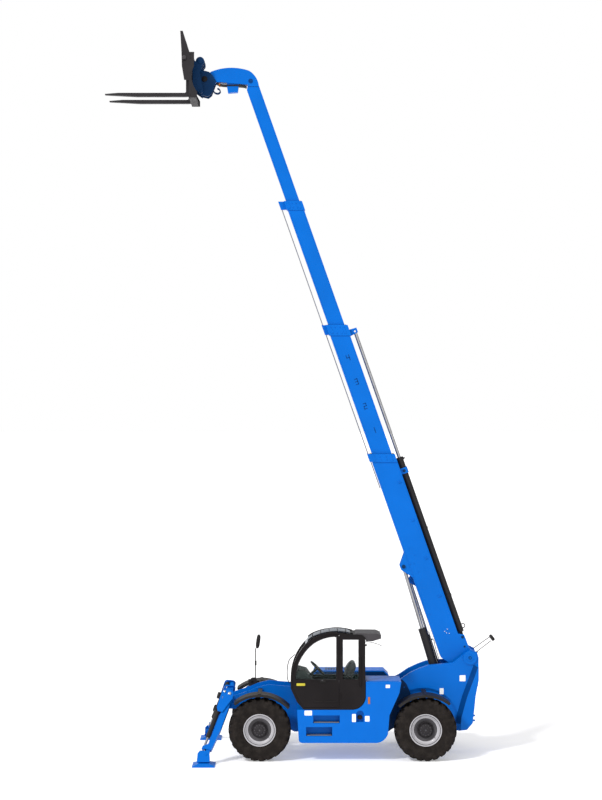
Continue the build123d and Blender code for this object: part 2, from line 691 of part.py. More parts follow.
# ---------------------------------------------------------------- boom
# section table: name, tail, mouth, height, width, collar length, collar growth at the
# bottom and at the top. Lengths run along the boom from the pivot.
sections = [
    ("boom_base", 560, 4923, 535, 420, 190, 46, 1),
    ("boom_second", 3330, 7992, 420, 335, 255, 104, 24),
    ("boom_third", 6460, 10939, 345, 270, 215, 140, 20),
    ("boom_tip", 9370, 13640, 285, 215, 0, 0, 0),
]
pipe_z = -626                   # the two slide pipes run under the boom at this height
pipe_r = 11
pipe_lanes = {"boom_second": 57, "boom_third": 24}
ext_z = 12                      # extension cylinder's axis
ear_x, ear_z = 2387, -717       # lift cylinder's upper pin
comp_x, comp_z = 2006, -675     # compensation cylinder's upper pin
lift_y, comp_y = -105, 140


def slanted(x0, x1, low, high):
    """Boom-frame box whose two ends are level in the stored pose."""
    cut = lambda x, z: x - (z - boom_axis_z) * head_slant
    return [(cut(x0, low), low), (cut(x1, low), low), (cut(x1, high), high), (cut(x0, high), high)]


def tube_outline(x0, x1, half):
    low, high = boom_axis_z - half, boom_axis_z + half
    cut = lambda x, z: x - (z - boom_axis_z) * head_slant
    return [(x0, low), (cut(x1, low), low), (cut(x1, high), high), (x0, high)]


def collar_part(mouth, height, width, length, low, high):
    return slanted(mouth - length, mouth - 2, boom_axis_z - height / 2 - low, boom_axis_z + height / 2 + high)


def tube_void(x0, x1, height, width):
    half = height / 2 - boom_wall
    return tube_outline(x0 - 50, x1 + 400, half)


# base section
name, tail, mouth, height, width, c_len, c_low, c_high = sections[0]
with BuildPart() as boom_base:
    with BuildSketch(boom_side(-width / 2)):
        outline(tube_outline(tail, mouth, height / 2))
        outline([(-150, -30), (-110, -250), (-20, -440), (190, boom_axis_z - height / 2), (tail + 5, boom_axis_z - height / 2),
                 (tail + 5, boom_axis_z + height / 2), (540, -20), (500, 54), (400, 60), (200, 62), (60, 122), (-110, 95)])
        Circle(146)
    extrude(amount=width)
    with BuildSketch(boom_side(-width / 2 - 22)):
        outline(collar_part(mouth, height, width, c_len, c_low, c_high))
    extrude(amount=width + 44)
    with BuildSketch(boom_side(-width / 2 + boom_wall)):
        outline([(-400, -1500), (-400, 1500), (tail + 20, 1500), (tail + 20, -66), (tail - 20, -66), (tail - 20, -1500)])
        outline(tube_void(tail, mouth, height, width))
    extrude(amount=width - 2 * boom_wall, mode=Mode.SUBTRACT)
    # closing plates of the flared rear end, and the web at the tube's tail
    with BuildSketch(boom_side(-width / 2 + boom_wall)):
        outline([(60, 108), (200, 48), (400, 46), (400, 60), (200, 62), (60, 122)])
        outline([(-20, -440), (190, boom_axis_z - height / 2), (190, boom_axis_z - height / 2 + 14), (-12, -424)])
        outline([(190, boom_axis_z - height / 2), (575, boom_axis_z - height / 2), (575, boom_axis_z - height / 2 + 10), (190, boom_axis_z - height / 2 + 10)])
    extrude(amount=width - 2 * boom_wall)
    # pivot tube
    with BuildSketch(boom_side(-(plate_in - 6))):
        Circle(128)
    extrude(amount=2 * (plate_in - 6))
    with BuildSketch(boom_side(-(plate_in - 6))):
        Circle(80.5)
    extrude(amount=2 * (plate_in - 6), mode=Mode.SUBTRACT)
    # ears of the lift and compensation cylinders
    ear_table = [
        (lift_y, 93, 18, [(2080, -600), (2330, -790), (2440, -790), (2680, -600)], (ear_x, ear_z), 78, 36),
        (comp_y, 53, 12, [(1850, -600), (1960, -700), (2052, -700), (2140, -600)], (comp_x, comp_z), 46, 20),
    ]
    for y, half, thick, points, pin, pin_r, bore_r in ear_table:
        for y0 in (y - half - thick, y + half):
            with BuildSketch(boom_side(y0)):
                outline(points)
                with Locations(pin):
                    Circle(pin_r)
            extrude(amount=thick)
        # short pin ends outside the ears
        for y0 in (y - half - thick - 12, y + half + thick):
            with BuildSketch(boom_side(y0)):
                with Locations(pin):
                    Circle(bore_r)
            extrude(amount=12)
    # guide holes for the slide pipes in the mouth collar
    for lane in pipe_lanes.values():
        with BuildSketch(Plane(origin=boom_point(mouth - 600, pipe_z, lane), x_dir=(0, 1, 0), z_dir=(ux, 0, uz))):
            Circle(pipe_r + 3)
        extrude(amount=1200, mode=Mode.SUBTRACT)
save("boom_base", boom_base)

# extension cylinder: barrel on the base section
ext_tail, ext_mouth, ext_rod_tail, ext_rod_head = 455, 4717, 3850, 7721
with BuildPart() as extension_barrel:
    with BuildSketch(Plane(origin=boom_point(561, ext_z), x_dir=(0, 1, 0), z_dir=(ux, 0, uz))):
        Circle(76)
    extrude(amount=ext_mouth - 561)
    with BuildSketch(Plane(origin=boom_point(620, ext_z), x_dir=(0, 1, 0), z_dir=(ux, 0, uz))):
        Circle(60)
    extrude(amount=ext_mouth - 620, mode=Mode.SUBTRACT)
    with BuildSketch(Plane(origin=boom_point(ext_mouth - 60, ext_z), x_dir=(0, 1, 0), z_dir=(ux, 0, uz))):
        Circle(62)
        Circle(42, mode=Mode.SUBTRACT)
    extrude(amount=60)
    # tail eye and the two saddles welded to the tube
    with BuildSketch(boom_side(-30)):
        outline([(450, -8), (570, -30), (570, 54), (450, 40)])
        with Locations((455, ext_z)):
            Circle(38)
            Circle(20, mode=Mode.SUBTRACT)
    extrude(amount=60)
save("extension_barrel", extension_barrel)

# second, third and tip sections: plain tubes with a mouth collar
rod_bracket = [(7650, -126), (7800, -126), (7790, 70), (7680, 70)]
for name, tail, mouth, height, width, c_len, c_low, c_high in sections[1:3]:
    with BuildPart() as section:
        with BuildSketch(boom_side(-width / 2)):
            outline(tube_outline(tail, mouth, height / 2))
        extrude(amount=width)
        with BuildSketch(boom_side(-width / 2 - 18)):
            outline(collar_part(mouth, height, width, c_len, 18, c_high))
        extrude(amount=width + 36)
        # keel under the collar, where the slide pipes are held or guided
        with BuildSketch(boom_side(-20)):
            outline(collar_part(mouth, height, width, c_len - 20, c_low, 0))
        extrude(amount=105)
        with BuildSketch(boom_side(-width / 2 + boom_wall)):
            outline(tube_void(tail, mouth, height, width))
        extrude(amount=width - 2 * boom_wall, mode=Mode.SUBTRACT)
        if name == "boom_second":
            for y0 in (-62, 38):
                with BuildSketch(boom_side(y0)):
                    outline(rod_bracket)
                    with Locations((ext_rod_head, ext_z)):
                        Circle(22, mode=Mode.SUBTRACT)
                extrude(amount=24)
            guide = pipe_lanes["boom_third"]
            with BuildSketch(Plane(origin=boom_point(mouth - 700, pipe_z, guide), x_dir=(0, 1, 0), z_dir=(ux, 0, uz))):
                Circle(pipe_r + 3)
            extrude(amount=1400, mode=Mode.SUBTRACT)
        lane = pipe_lanes[name]
        with BuildSketch(Plane(origin=boom_point(mouth - c_len - 300, pipe_z, lane), x_dir=(0, 1, 0), z_dir=(ux, 0, uz))):
            Circle(pipe_r + 0.3)
        extrude(amount=c_len + 330, mode=Mode.SUBTRACT)
    save(name, section)

# slide pipes: held in their own section's keel, running back through the next guide
pipe_table = [
    ("slide_pipe_second", "boom_second", 7992, 3750),
    ("slide_pipe_third", "boom_third", 10939, 3680),
]
for name, owner, mouth, length in pipe_table:
    with BuildPart() as pipe:
        with BuildSketch(Plane(origin=boom_point(mouth - 40 - length, pipe_z, pipe_lanes[owner]), x_dir=(0, 1, 0), z_dir=(ux, 0, uz))):
            Circle(pipe_r)
        extrude(amount=length)
    save(name, pipe)

with BuildPart() as extension_rod:
    with BuildSketch(Plane(origin=boom_point(ext_rod_tail + 80, ext_z), x_dir=(0, 1, 0), z_dir=(ux, 0, uz))):
        Circle(38)
    extrude(amount=ext_rod_head - 30 - ext_rod_tail - 80)
    with BuildSketch(Plane(origin=boom_point(ext_rod_tail, ext_z), x_dir=(0, 1, 0), z_dir=(ux, 0, uz))):
        Circle(55)
    extrude(amount=80)
    with BuildSketch(boom_side(-36)):
        with Locations((ext_rod_head, ext_z)):
            Circle(45)
            Circle(22, mode=Mode.SUBTRACT)
    extrude(amount=72)
save("extension_rod", extension_rod)

# tip section with the goose neck that carries the fork pivot
name, tail, mouth, height, width, c_len, c_low, c_high = sections[3]
neck_half = width / 2


def neck_wire(g):
    """Goose-neck outline (X, Z) in the stored pose, moved inward by g."""
    Line((-1215 + g, 14862), (-1192 + g, 14975 + g))
    Line((-1192 + g, 14975 + g), (-1827, 15036 + g))
    Line((-1827, 15036 + g), (-2085, 15010 + g))
    ThreePointArc((-2085, 15010 + g), (tilt_x - 104 + g, tilt_z - 10), (-2110, 15186 - g))
    Line((-2110, 15186 - g), (-2022, 15267 - g))
    ThreePointArc((-2022, 15267 - g), (-1587, 15357 - g), (-1167 - g / 2, 15292 - g))
    ThreePointArc((-1167 - g / 2, 15292 - g), (-1018 - g, 15150), (-946 - g, 14958))
    Line((-946 - g, 14958), (-1215 + g, 14862))


with BuildPart() as neck_void:
    with BuildSketch(side(neck_half - boom_wall)):
        with BuildLine():
            neck_wire(12)
        make_face()
        with Locations((tilt_x, tilt_z)):
            Circle(100, mode=Mode.SUBTRACT)
    extrude(amount=width - 2 * boom_wall)
with BuildPart() as boom_tip:
    with BuildSketch(boom_side(-neck_half)):
        outline([(tail, boom_axis_z - height / 2), (mouth, boom_axis_z - height / 2),
                 (mouth, boom_axis_z + height / 2), (tail, boom_axis_z + height / 2)])
    extrude(amount=width)
    with BuildSketch(boom_side(-neck_half + boom_wall)):
        half = height / 2 - boom_wall
        outline([(tail - 10, boom_axis_z - half), (mouth - 8, boom_axis_z - half),
                 (mouth - 8, boom_axis_z + half), (tail - 10, boom_axis_z + half)])
    extrude(amount=width - 2 * boom_wall, mode=Mode.SUBTRACT)
    with BuildSketch(side(neck_half)):
        with BuildLine():
            neck_wire(0)
        make_face()
    extrude(amount=width)
    add(neck_void.part, mode=Mode.SUBTRACT)
    # valve block under the neck
    with BuildSketch(side(85)):
        outline([(-1662, 15022), (-1662, 14930), (-1640, 14800), (-1420, 14815), (-1405, 14930), (-1400, 15000)])
    extrude(amount=170)
    # bore of the fork pivot
    with BuildSketch(side(neck_half)):
        with Locations((tilt_x, tilt_z)):
            Circle(40.3)
    extrude(amount=width, mode=Mode.SUBTRACT)
save("boom_tip", boom_tip)

# ---------------------------------------------------------------- fork carriage
# side plate of the coupler (X, Z)
coupler_plate = [
    (-2388, 15470), (-2330, 15540), (-2205, 15500), (-2200, 15290), (-2060, 15255), (-1960, 15150),
    (-1905, 15040), (-2010, 14760), (-2085, 14700), (-2240, 14735), (-2300, 14800), (-2388, 14850),
]
with BuildPart() as coupler:
    for s in (-1, 1):
        with BuildSketch(side(s * 125 if s < 0 else 165)):
            outline(coupler_plate)
            with Locations((-2255, 15465)):
                Circle(100)
        extrude(amount=40)
        # outer hooks' tube, top and bottom
        with BuildSketch(side(-160 if s < 0 else 330)):
            with Locations((-2255, 15465)):
                Circle(62)
            with Locations((-2230, 14800)):
                Circle(48)
        extrude(amount=170)
        # outer hook plates
        with BuildSketch(side(-300 if s < 0 else 330)):
            outline([(-2388, 15465), (-2185, 15465), (-2215, 15300), (-2260, 15200), (-2190, 14850), (-2230, 14735), (-2388, 14850)])
            with Locations((-2255, 15465)):
                Circle(95)
        extrude(amount=30)
    # front plate that joins the two sides
    with BuildSketch(side(330)):
        outline([(-2420, 14830), (-2388, 14830), (-2388, 15535), (-2420, 15535)])
    extrude(amount=660)
    # fork pivot pin
    with BuildSketch(side(190)):
        with Locations((tilt_x, tilt_z)):
            Circle(40)
    extrude(amount=380)
save("coupler", coupler)

# carriage: two side plates and three cross bars
carriage_plate = [
    (-2648, 15612), (-2367, 15612), (-2372, 15300), (-2422, 15180), (-2422, 14990), (-2380, 14860), (-2305, 14720),
    (-2305, 14600), (-2490, 14600), (-2490, 14990), (-2590, 14996), (-2640, 15301),
]
with BuildPart() as carriage_frame:
    for s in (-1, 1):
        with BuildSketch(side(-fork_half_w + 30 if s < 0 else fork_half_w)):
            outline(carriage_plate)
        extrude(amount=30)
    # cross bars: x0, x1, z0, z1
    for x0, x1, z0, z1 in ((-2490, -2422, 15440, 15600), (-2490, -2422, 15120, 15200), (-2490, -2340, 14605, 14690)):
        with BuildSketch(side(fork_half_w - 30)):
            with Locations(((x0 + x1) / 2, (z0 + z1) / 2)):
                Rectangle(x1 - x0, z1 - z0)
        extrude(amount=2 * (fork_half_w - 30))
    # webs between coupler and bars
    for y in (-240, 270):
        with BuildSketch(side(y)):
            outline([(-2490, 14690), (-2490, 15440), (-2422, 15440), (-2422, 14690)])
        extrude(amount=30)
save("carriage_frame", carriage_frame)

# load backrest: tapering side plates, top bar and uprights
with BuildPart() as backrest:
    for s in (-1, 1):
        with BuildSketch(side(-fork_half_w + 30 if s < 0 else fork_half_w)):
            outline([(-2675, 16079), (-2619, 16079), (-2475, 15613), (-2648, 15613)])
        extrude(amount=30)
    with BuildSketch(side(fork_half_w - 30)):
        outline([(-2673, 16078), (-2621, 16078), (-2614, 16020), (-2671, 16020)])
    extrude(amount=2 * (fork_half_w - 30))
    with BuildSketch(side(fork_half_w - 30)):
        outline([(-2650, 15660), (-2610, 15660), (-2612, 15613), (-2648, 15613)])
    extrude(amount=2 * (fork_half_w - 30))
    for i in range(9):
        y = -480 + i * 120
        with BuildSketch(side(y + 10)):
            outline([(-2668, 16021), (-2645, 16021), (-2622, 15655), (-2646, 15655)])
        extrude(amount=20)
save("backrest", backrest)

with BuildPart() as fork_tines:
    for s in (-1, 1):
        with BuildSketch(side(s * tine_y + 62)):
            outline([(tine_tip_x, 14680), (tine_tip_x + 700, 14642), (-2570, 14642), (-2510, 14646), (-2495, 14668), (-2495, 15430),
                     (-2555, 15430), (-2555, 14742), (-2575, 14722), (tine_tip_x + 300, 14722), (tine_tip_x, 14698)])
        extrude(amount=124)
save("fork_tines", fork_tines)

# ---------------------------------------------------------------- lift and compensation cylinders
# name, base pin, upper pin, barrel radius, rod radius, barrel mouth, rod tail, eye radius,
# half width of the lower and of the upper eye
lift_top = boom_point(ear_x, ear_z)
comp_top = boom_point(comp_x, comp_z)
cylinder_table = [
    ("lift", lift_pin, (lift_top[0], lift_y, lift_top[2]), 88, 42, 1700, 1520, 60, 54, 87),
    ("comp", comp_pin, (comp_top[0], comp_y, comp_top[2]), 48, 27, 1500, 1345, 36, 48, 48),
]
for name, base, top, barrel_r, rod_r, mouth, tail, eye_r, eye_half, top_half in cylinder_table:
    run = (Vector(*top) - Vector(*base)).length
    axis_dir = (Vector(*top) - Vector(*base)).normalized()
    print(name, "cylinder pin to pin", round(run, 1))

    def cyl_plane(at, base=base, axis_dir=axis_dir):
        return Plane(origin=Vector(*base) + axis_dir * at, x_dir=(0, 1, 0), z_dir=axis_dir)

    with BuildPart() as barrel:
        with BuildSketch(cyl_plane(eye_r + 22)):
            Circle(barrel_r)
        extrude(amount=mouth - eye_r - 22)
        with BuildSketch(cyl_plane(eye_r + 60)):
            Circle(barrel_r - 13)
        extrude(amount=mouth, mode=Mode.SUBTRACT)
        with BuildSketch(cyl_plane(mouth - 70)):
            Circle(barrel_r - 12)
            Circle(rod_r + 3, mode=Mode.SUBTRACT)
        extrude(amount=70)
        with BuildSketch(Plane(origin=(base[0], base[1] - eye_half, base[2]), x_dir=(1, 0, 0), z_dir=(0, 1, 0))):
            Circle(eye_r)
        extrude(amount=2 * eye_half)
        with BuildSketch(cyl_plane(0)):
            Rectangle(2 * eye_half, 1.5 * eye_r)
        extrude(amount=eye_r + 30)
    save(name + "_barrel", barrel)
    with BuildPart() as rod:
        with BuildSketch(cyl_plane(tail)):
            Circle(barrel_r - 18)
        extrude(amount=60)
        with BuildSketch(cyl_plane(tail + 60)):
            Circle(rod_r)
        extrude(amount=run - tail - 60 - eye_r * 0.6)
        with BuildSketch(Plane(origin=(top[0], top[1] - top_half, top[2]), x_dir=(1, 0, 0), z_dir=(0, 1, 0))):
            Circle(eye_r)
            Circle(eye_r * 0.5, mode=Mode.SUBTRACT)
        extrude(amount=2 * top_half)
    save(name + "_rod", rod)

# ---------------------------------------------------------------- outriggers
pad_x, pad_y = (-2345, -1855), (1330, 1860)
for tag, s in (("left", -1), ("right", 1)):
    with BuildPart() as leg:
        with BuildSketch(leg_plane(s, -55)):
            outline([along_leg(*p) for p in ((0, -58), (330, -92), (900, -98), (1385, -66), (1385, 46), (500, 38), (130, 32), (50, 40), (0, 58))])
            Circle(60)
        extrude(amount=110)
        with BuildSketch(leg_plane(s, -45)):
            outline([along_leg(*p) for p in ((80, -54), (330, -82), (900, -88), (1370, -56), (1370, 36), (500, 28), (130, 22), (80, 24))])
        extrude(amount=90, mode=Mode.SUBTRACT)
        with BuildSketch(leg_plane(s, -40)):
            outline([along_leg(*p) for p in ((1380, -40), (1512, -48), (1512, 48), (1380, 40))])
            with Locations(leg_foot):
                Circle(48)
        extrude(amount=80)
        with BuildSketch(leg_plane(s, -60)):
            with Locations(leg_root):
                Circle(30.3)
            with Locations(leg_foot):
                Circle(24.3)
        extrude(amount=120, mode=Mode.SUBTRACT)
        # lugs that hold the lower end of the cylinder, with short pin ends
        for a, b in ((-54, -40), (40, 54)):
            with BuildSketch(leg_plane(s, a)):
                outline([along_leg(*p) for p in ((1250, 30), (1345, 142), (1400, 142), (1396, 30))])
                with Locations(leg_cyl_foot):
                    Circle(34)
            extrude(amount=b - a)
        for a, b in ((-64, -54), (54, 64)):
            with BuildSketch(leg_plane(s, a)):
                with Locations(leg_cyl_foot):
                    Circle(20)
            extrude(amount=b - a)
    save("outrigger_leg_" + tag, leg)

    with BuildPart() as pad:
        with BuildSketch(Plane.XY):
            with Locations(((pad_x[0] + pad_x[1]) / 2, s * (pad_y[0] + pad_y[1]) / 2)):
                Rectangle(pad_x[1] - pad_x[0], pad_y[1] - pad_y[0])
        extrude(amount=22)
        with BuildSketch(Plane.XY.offset(22)):
            with Locations(((pad_x[0] + pad_x[1]) / 2, s * (pad_y[0] + pad_y[1]) / 2)):
                Rectangle(470, 500)
        with BuildSketch(Plane.XY.offset(62)):
            with Locations(((pad_x[0] + pad_x[1]) / 2, s * (pad_y[0] + pad_y[1]) / 2)):
                Rectangle(240, 330)
        loft()
        # ears around the foot pin
        for a, b in ((-68, -48), (48, 68)):
            with BuildSketch(leg_plane(s, a)):
                outline([(leg_foot[0] - 72, leg_foot[1] + 20), (leg_foot[0] - 60, leg_foot[1] - 76), (leg_foot[0] + 140, leg_foot[1] - 86),
                         (leg_foot[0] + 188, leg_foot[1] - 20), (leg_foot[0] + 200, leg_foot[1] + 185), (leg_foot[0] - 80, leg_foot[1] + 185)])
            extrude(amount=b - a)
        with BuildSketch(leg_plane(s, -80)):
            with Locations(leg_foot):
                Circle(24)
        extrude(amount=160)
    save("outrigger_pad_" + tag, pad)

    base, top = Vector(*leg_point(s, leg_cyl_root)), Vector(*leg_point(s, leg_cyl_foot))
    run, axis_dir = (top - base).length, (top - base).normalized()
    print("outrigger cylinder pin to pin", round(run, 1))
    swing_normal = Vector(0, -leg_down_z, -s * leg_down_y)
    cyl = [Plane(origin=base + axis_dir * d, x_dir=swing_normal, z_dir=axis_dir) for d in (30, 55, 110, 1060, 340, 1000)]
    with BuildPart() as barrel:
        with BuildSketch(cyl[1]):
            Circle(50)
        extrude(amount=1120 - 55)
        with BuildSketch(cyl[2]):
            Circle(41)
        extrude(amount=1120, mode=Mode.SUBTRACT)
        with BuildSketch(cyl[3]):
            Circle(42)
            Circle(29, mode=Mode.SUBTRACT)
        extrude(amount=60)
        # lock valve block on its front
        with BuildSketch(cyl[4]):
            with Locations((0, 78)):
                Rectangle(84, 74)
            Circle(45, mode=Mode.SUBTRACT)
        extrude(amount=130)
        with BuildSketch(leg_plane(s, -38)):
            with Locations(leg_cyl_root):
                Circle(40)
        extrude(amount=76)
        with BuildSketch(cyl[0]):
            Rectangle(76, 70)
        extrude(amount=30)
        with BuildSketch(leg_plane(s, -60)):
            with Locations(leg_cyl_root):
                Circle(22.3)
        extrude(amount=120, mode=Mode.SUBTRACT)
    save("outrigger_barrel_" + tag, barrel)

    with BuildPart() as rod:
        with BuildSketch(cyl[5]):
            Circle(38)
        extrude(amount=50)
        with BuildSketch(cyl[5]):
            Circle(26)
        extrude(amount=run - 1000 - 20)
        with BuildSketch(leg_plane(s, -34)):
            with Locations(leg_cyl_foot):
                Circle(36)
                Circle(20, mode=Mode.SUBTRACT)
        extrude(amount=68)
    save("outrigger_rod_" + tag, rod)
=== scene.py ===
import bpy, bmesh
from math import sin, cos, tan, radians, degrees, pi, atan2, hypot, sqrt
from mathutils import Vector, Matrix


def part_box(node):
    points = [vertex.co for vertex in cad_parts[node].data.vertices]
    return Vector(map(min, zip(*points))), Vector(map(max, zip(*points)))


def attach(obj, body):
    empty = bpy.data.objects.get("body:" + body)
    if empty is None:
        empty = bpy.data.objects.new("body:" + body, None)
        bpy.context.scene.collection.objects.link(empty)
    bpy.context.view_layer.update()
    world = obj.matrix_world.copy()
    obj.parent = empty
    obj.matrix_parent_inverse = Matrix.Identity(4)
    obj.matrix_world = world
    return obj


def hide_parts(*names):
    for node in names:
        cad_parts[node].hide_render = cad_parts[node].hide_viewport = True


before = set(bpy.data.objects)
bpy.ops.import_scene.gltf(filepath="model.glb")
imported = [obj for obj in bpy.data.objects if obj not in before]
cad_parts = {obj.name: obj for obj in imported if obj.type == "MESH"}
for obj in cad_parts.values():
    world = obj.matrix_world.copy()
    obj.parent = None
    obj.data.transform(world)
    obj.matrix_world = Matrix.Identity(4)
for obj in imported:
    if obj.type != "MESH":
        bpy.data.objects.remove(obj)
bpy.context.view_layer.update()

scene = bpy.context.scene
MM = 0.001


def V(x, y, z):
    return Vector((x * MM, y * MM, z * MM))


# ------------------------------------------------------------------ materials
class Nodes:
    """A material's node tree, with short calls for the usual procedural parts."""

    def __init__(self, name):
        self.m = bpy.data.materials.new(name)
        self.m.use_nodes = True
        self.t = self.m.node_tree
        self.b = self.t.nodes["Principled BSDF"]
        self.co = self.t.nodes.new("ShaderNodeTexCoord").outputs["Object"]

    def link(self, a, b):
        self.t.links.new(a, b)

    def set(self, **kw):
        for k, v in kw.items():
            self.b.inputs[k.replace("_", " ")].default_value = v

    def noise(self, scale, detail=4, rough=0.55, stretch=None, distortion=0.0):
        n = self.t.nodes.new("ShaderNodeTexNoise")
        n.inputs["Scale"].default_value = scale
        n.inputs["Detail"].default_value = detail
        n.inputs["Roughness"].default_value = rough
        n.inputs["Distortion"].default_value = distortion
        src = self.co
        if stretch:
            mp = self.t.nodes.new("ShaderNodeMapping")
            mp.inputs["Scale"].default_value = stretch
            self.link(self.co, mp.inputs["Vector"])
            src = mp.outputs["Vector"]
        self.link(src, n.inputs["Vector"])
        return n.outputs["Fac"]

    def ramp(self, fac, stops):
        r = self.t.nodes.new("ShaderNodeValToRGB")
        e = r.color_ramp.elements
        while len(e) < len(stops):
            e.new(0.5)
        for el, (pos, col) in zip(e, stops):
            el.position = pos
            el.color = (*col, 1.0) if len(col) == 3 else col
        self.link(fac, r.inputs["Fac"])
        return r.outputs["Color"]

    def span(self, fac, lo, hi, a=0.0, b=1.0):
        r = self.t.nodes.new("ShaderNodeMapRange")
        r.inputs["From Min"].default_value = a
        r.inputs["From Max"].default_value = b
        r.inputs["To Min"].default_value = lo
        r.inputs["To Max"].default_value = hi
        self.link(fac, r.inputs["Value"])
        return r.outputs["Result"]

    def mix(self, fac, a, b, mode="MIX"):
        x = self.t.nodes.new("ShaderNodeMix")
        x.data_type = "RGBA"
        x.blend_type = mode
        for sock, val in ((x.inputs["Factor"], fac), (x.inputs[6], a), (x.inputs[7], b)):
            if hasattr(val, "default_value") or hasattr(val, "is_output"):
                self.link(val, sock)
            elif isinstance(val, (int, float)):
                sock.default_value = val
            else:
                sock.default_value = (*val, 1.0)
        return x.outputs[2]

    def math(self, op, a, b=0.0):
        x = self.t.nodes.new("ShaderNodeMath")
        x.operation = op
        for sock, val in ((x.inputs[0], a), (x.inputs[1], b)):
            if isinstance(val, (int, float)):
                sock.default_value = val
            else:
                self.link(val, sock)
        return x.outputs[0]

    def axis(self, name):
        s = self.t.nodes.new("ShaderNodeSeparateXYZ")
        self.link(self.co, s.inputs[0])
        return s.outputs[name]

    def bump(self, height, strength=0.1, distance=0.002):
        b = self.t.nodes.new("ShaderNodeBump")
        b.inputs["Strength"].default_value = strength
        b.inputs["Distance"].default_value = distance
        self.link(height, b.inputs["Height"])
        self.link(b.outputs["Normal"], self.b.inputs["Normal"])


def tint(c, k):
    return tuple(min(1.0, max(0.0, x * k)) for x in c)


def paint(name, color, rough=0.34, coat=0.25, vary=0.06, peel=0.05, dust=0.0, spec=0.5):
    """Sprayed paint: faint colour drift, orange peel, patches that are less glossy, road dust low down."""
    n = Nodes(name)
    base = n.ramp(n.noise(1.3, 3), [(0.3, tint(color, 1 - vary)), (0.7, tint(color, 1 + vary))])
    if dust:
        low = n.span(n.axis("Z"), dust, 0.0, 0.25, 1.5)
        spots = n.math("MULTIPLY", low, n.span(n.noise(7.0, 6, 0.7), 0.2, 1.0, 0.4, 0.75))
        base = n.mix(spots, base, (0.33, 0.29, 0.24))
    n.link(base, n.b.inputs["Base Color"])
    n.link(n.span(n.noise(9.0, 5, 0.6), rough - 0.06, rough + 0.12, 0.3, 0.75), n.b.inputs["Roughness"])
    n.set(Coat_Weight=coat, Coat_Roughness=0.12, Specular_IOR_Level=spec)
    n.bump(n.noise(420.0, 2), peel, 0.0006)
    return n.m


def plastic(name, color, rough=0.5, grain=900.0, strength=0.12):
    n = Nodes(name)
    n.link(n.ramp(n.noise(2.5, 3), [(0.3, tint(color, 0.85)), (0.7, tint(color, 1.15))]), n.b.inputs["Base Color"])
    n.link(n.span(n.noise(14.0, 4), rough - 0.08, rough + 0.1), n.b.inputs["Roughness"])
    n.set(Specular_IOR_Level=0.15)
    n.bump(n.noise(grain, 3), strength, 0.0005)
    return n.m


def rubber(name, color, rough=0.78):
    n = Nodes(name)
    dusty = n.math("MULTIPLY", n.span(n.noise(5.0, 6, 0.7), 0.0, 1.0, 0.45, 0.8), n.span(n.noise(60.0, 3), 0.2, 0.9))
    n.link(n.mix(dusty, n.ramp(n.noise(11.0, 4), [(0.3, tint(color, 0.8)), (0.72, tint(color, 1.25))]), (0.045, 0.037, 0.031)), n.b.inputs["Base Color"])
    n.link(n.span(n.noise(25.0, 4), rough - 0.12, rough + 0.12), n.b.inputs["Roughness"])
    n.set(Specular_IOR_Level=0.12)
    n.bump(n.noise(260.0, 4, 0.7), 0.35, 0.0012)
    return n.m


def steel(name, color, rough=0.3, metallic=1.0, brush=None):
    n = Nodes(name)
    n.set(Metallic=metallic)
    n.link(n.ramp(n.noise(6.0, 4), [(0.3, tint(color, 0.88)), (0.7, tint(color, 1.08))]), n.b.inputs["Base Color"])
    g = n.noise(40.0, 4, 0.6, stretch=brush or (1, 1, 1))
    n.link(n.span(g, rough - 0.06, rough + 0.12), n.b.inputs["Roughness"])
    n.bump(n.noise(260.0, 2), 0.02, 0.0001)
    return n.m


def glass(name, color, rough=0.02, alpha=0.3, coat=0.6, spec=0.5):
    n = Nodes(name)
    n.link(n.ramp(n.noise(0.8, 2), [(0.3, tint(color, 0.94)), (0.7, tint(color, 1.04))]), n.b.inputs["Base Color"])
    n.link(n.span(n.noise(6.0, 5, 0.65), rough, rough + 0.07, 0.45, 0.8), n.b.inputs["Roughness"])
    n.set(Alpha=alpha, IOR=1.45, Coat_Weight=coat, Coat_Roughness=0.02, Specular_IOR_Level=spec)
    return n.m


def cloth(name, color, rows=150.0):
    """Woven seat cloth: two crossed thread waves and a little fuzz."""
    n = Nodes(name)
    w = []
    for axis in ("X", "Z"):
        t = n.t.nodes.new("ShaderNodeTexWave")
        t.bands_direction = axis
        t.inputs["Scale"].default_value = rows
        t.inputs["Distortion"].default_value = 0.6
        t.inputs["Detail"].default_value = 1.0
        n.link(n.co, t.inputs["Vector"])
        w.append(t.outputs["Fac"])
    weave = n.math("MAXIMUM", w[0], w[1])
    n.link(n.mix(weave, tint(color, 0.6), tint(color, 1.5)), n.b.inputs["Base Color"])
    n.set(Roughness=0.92, Sheen_Weight=0.25, Sheen_Roughness=0.5)
    n.bump(weave, 0.4, 0.0012)
    return n.m


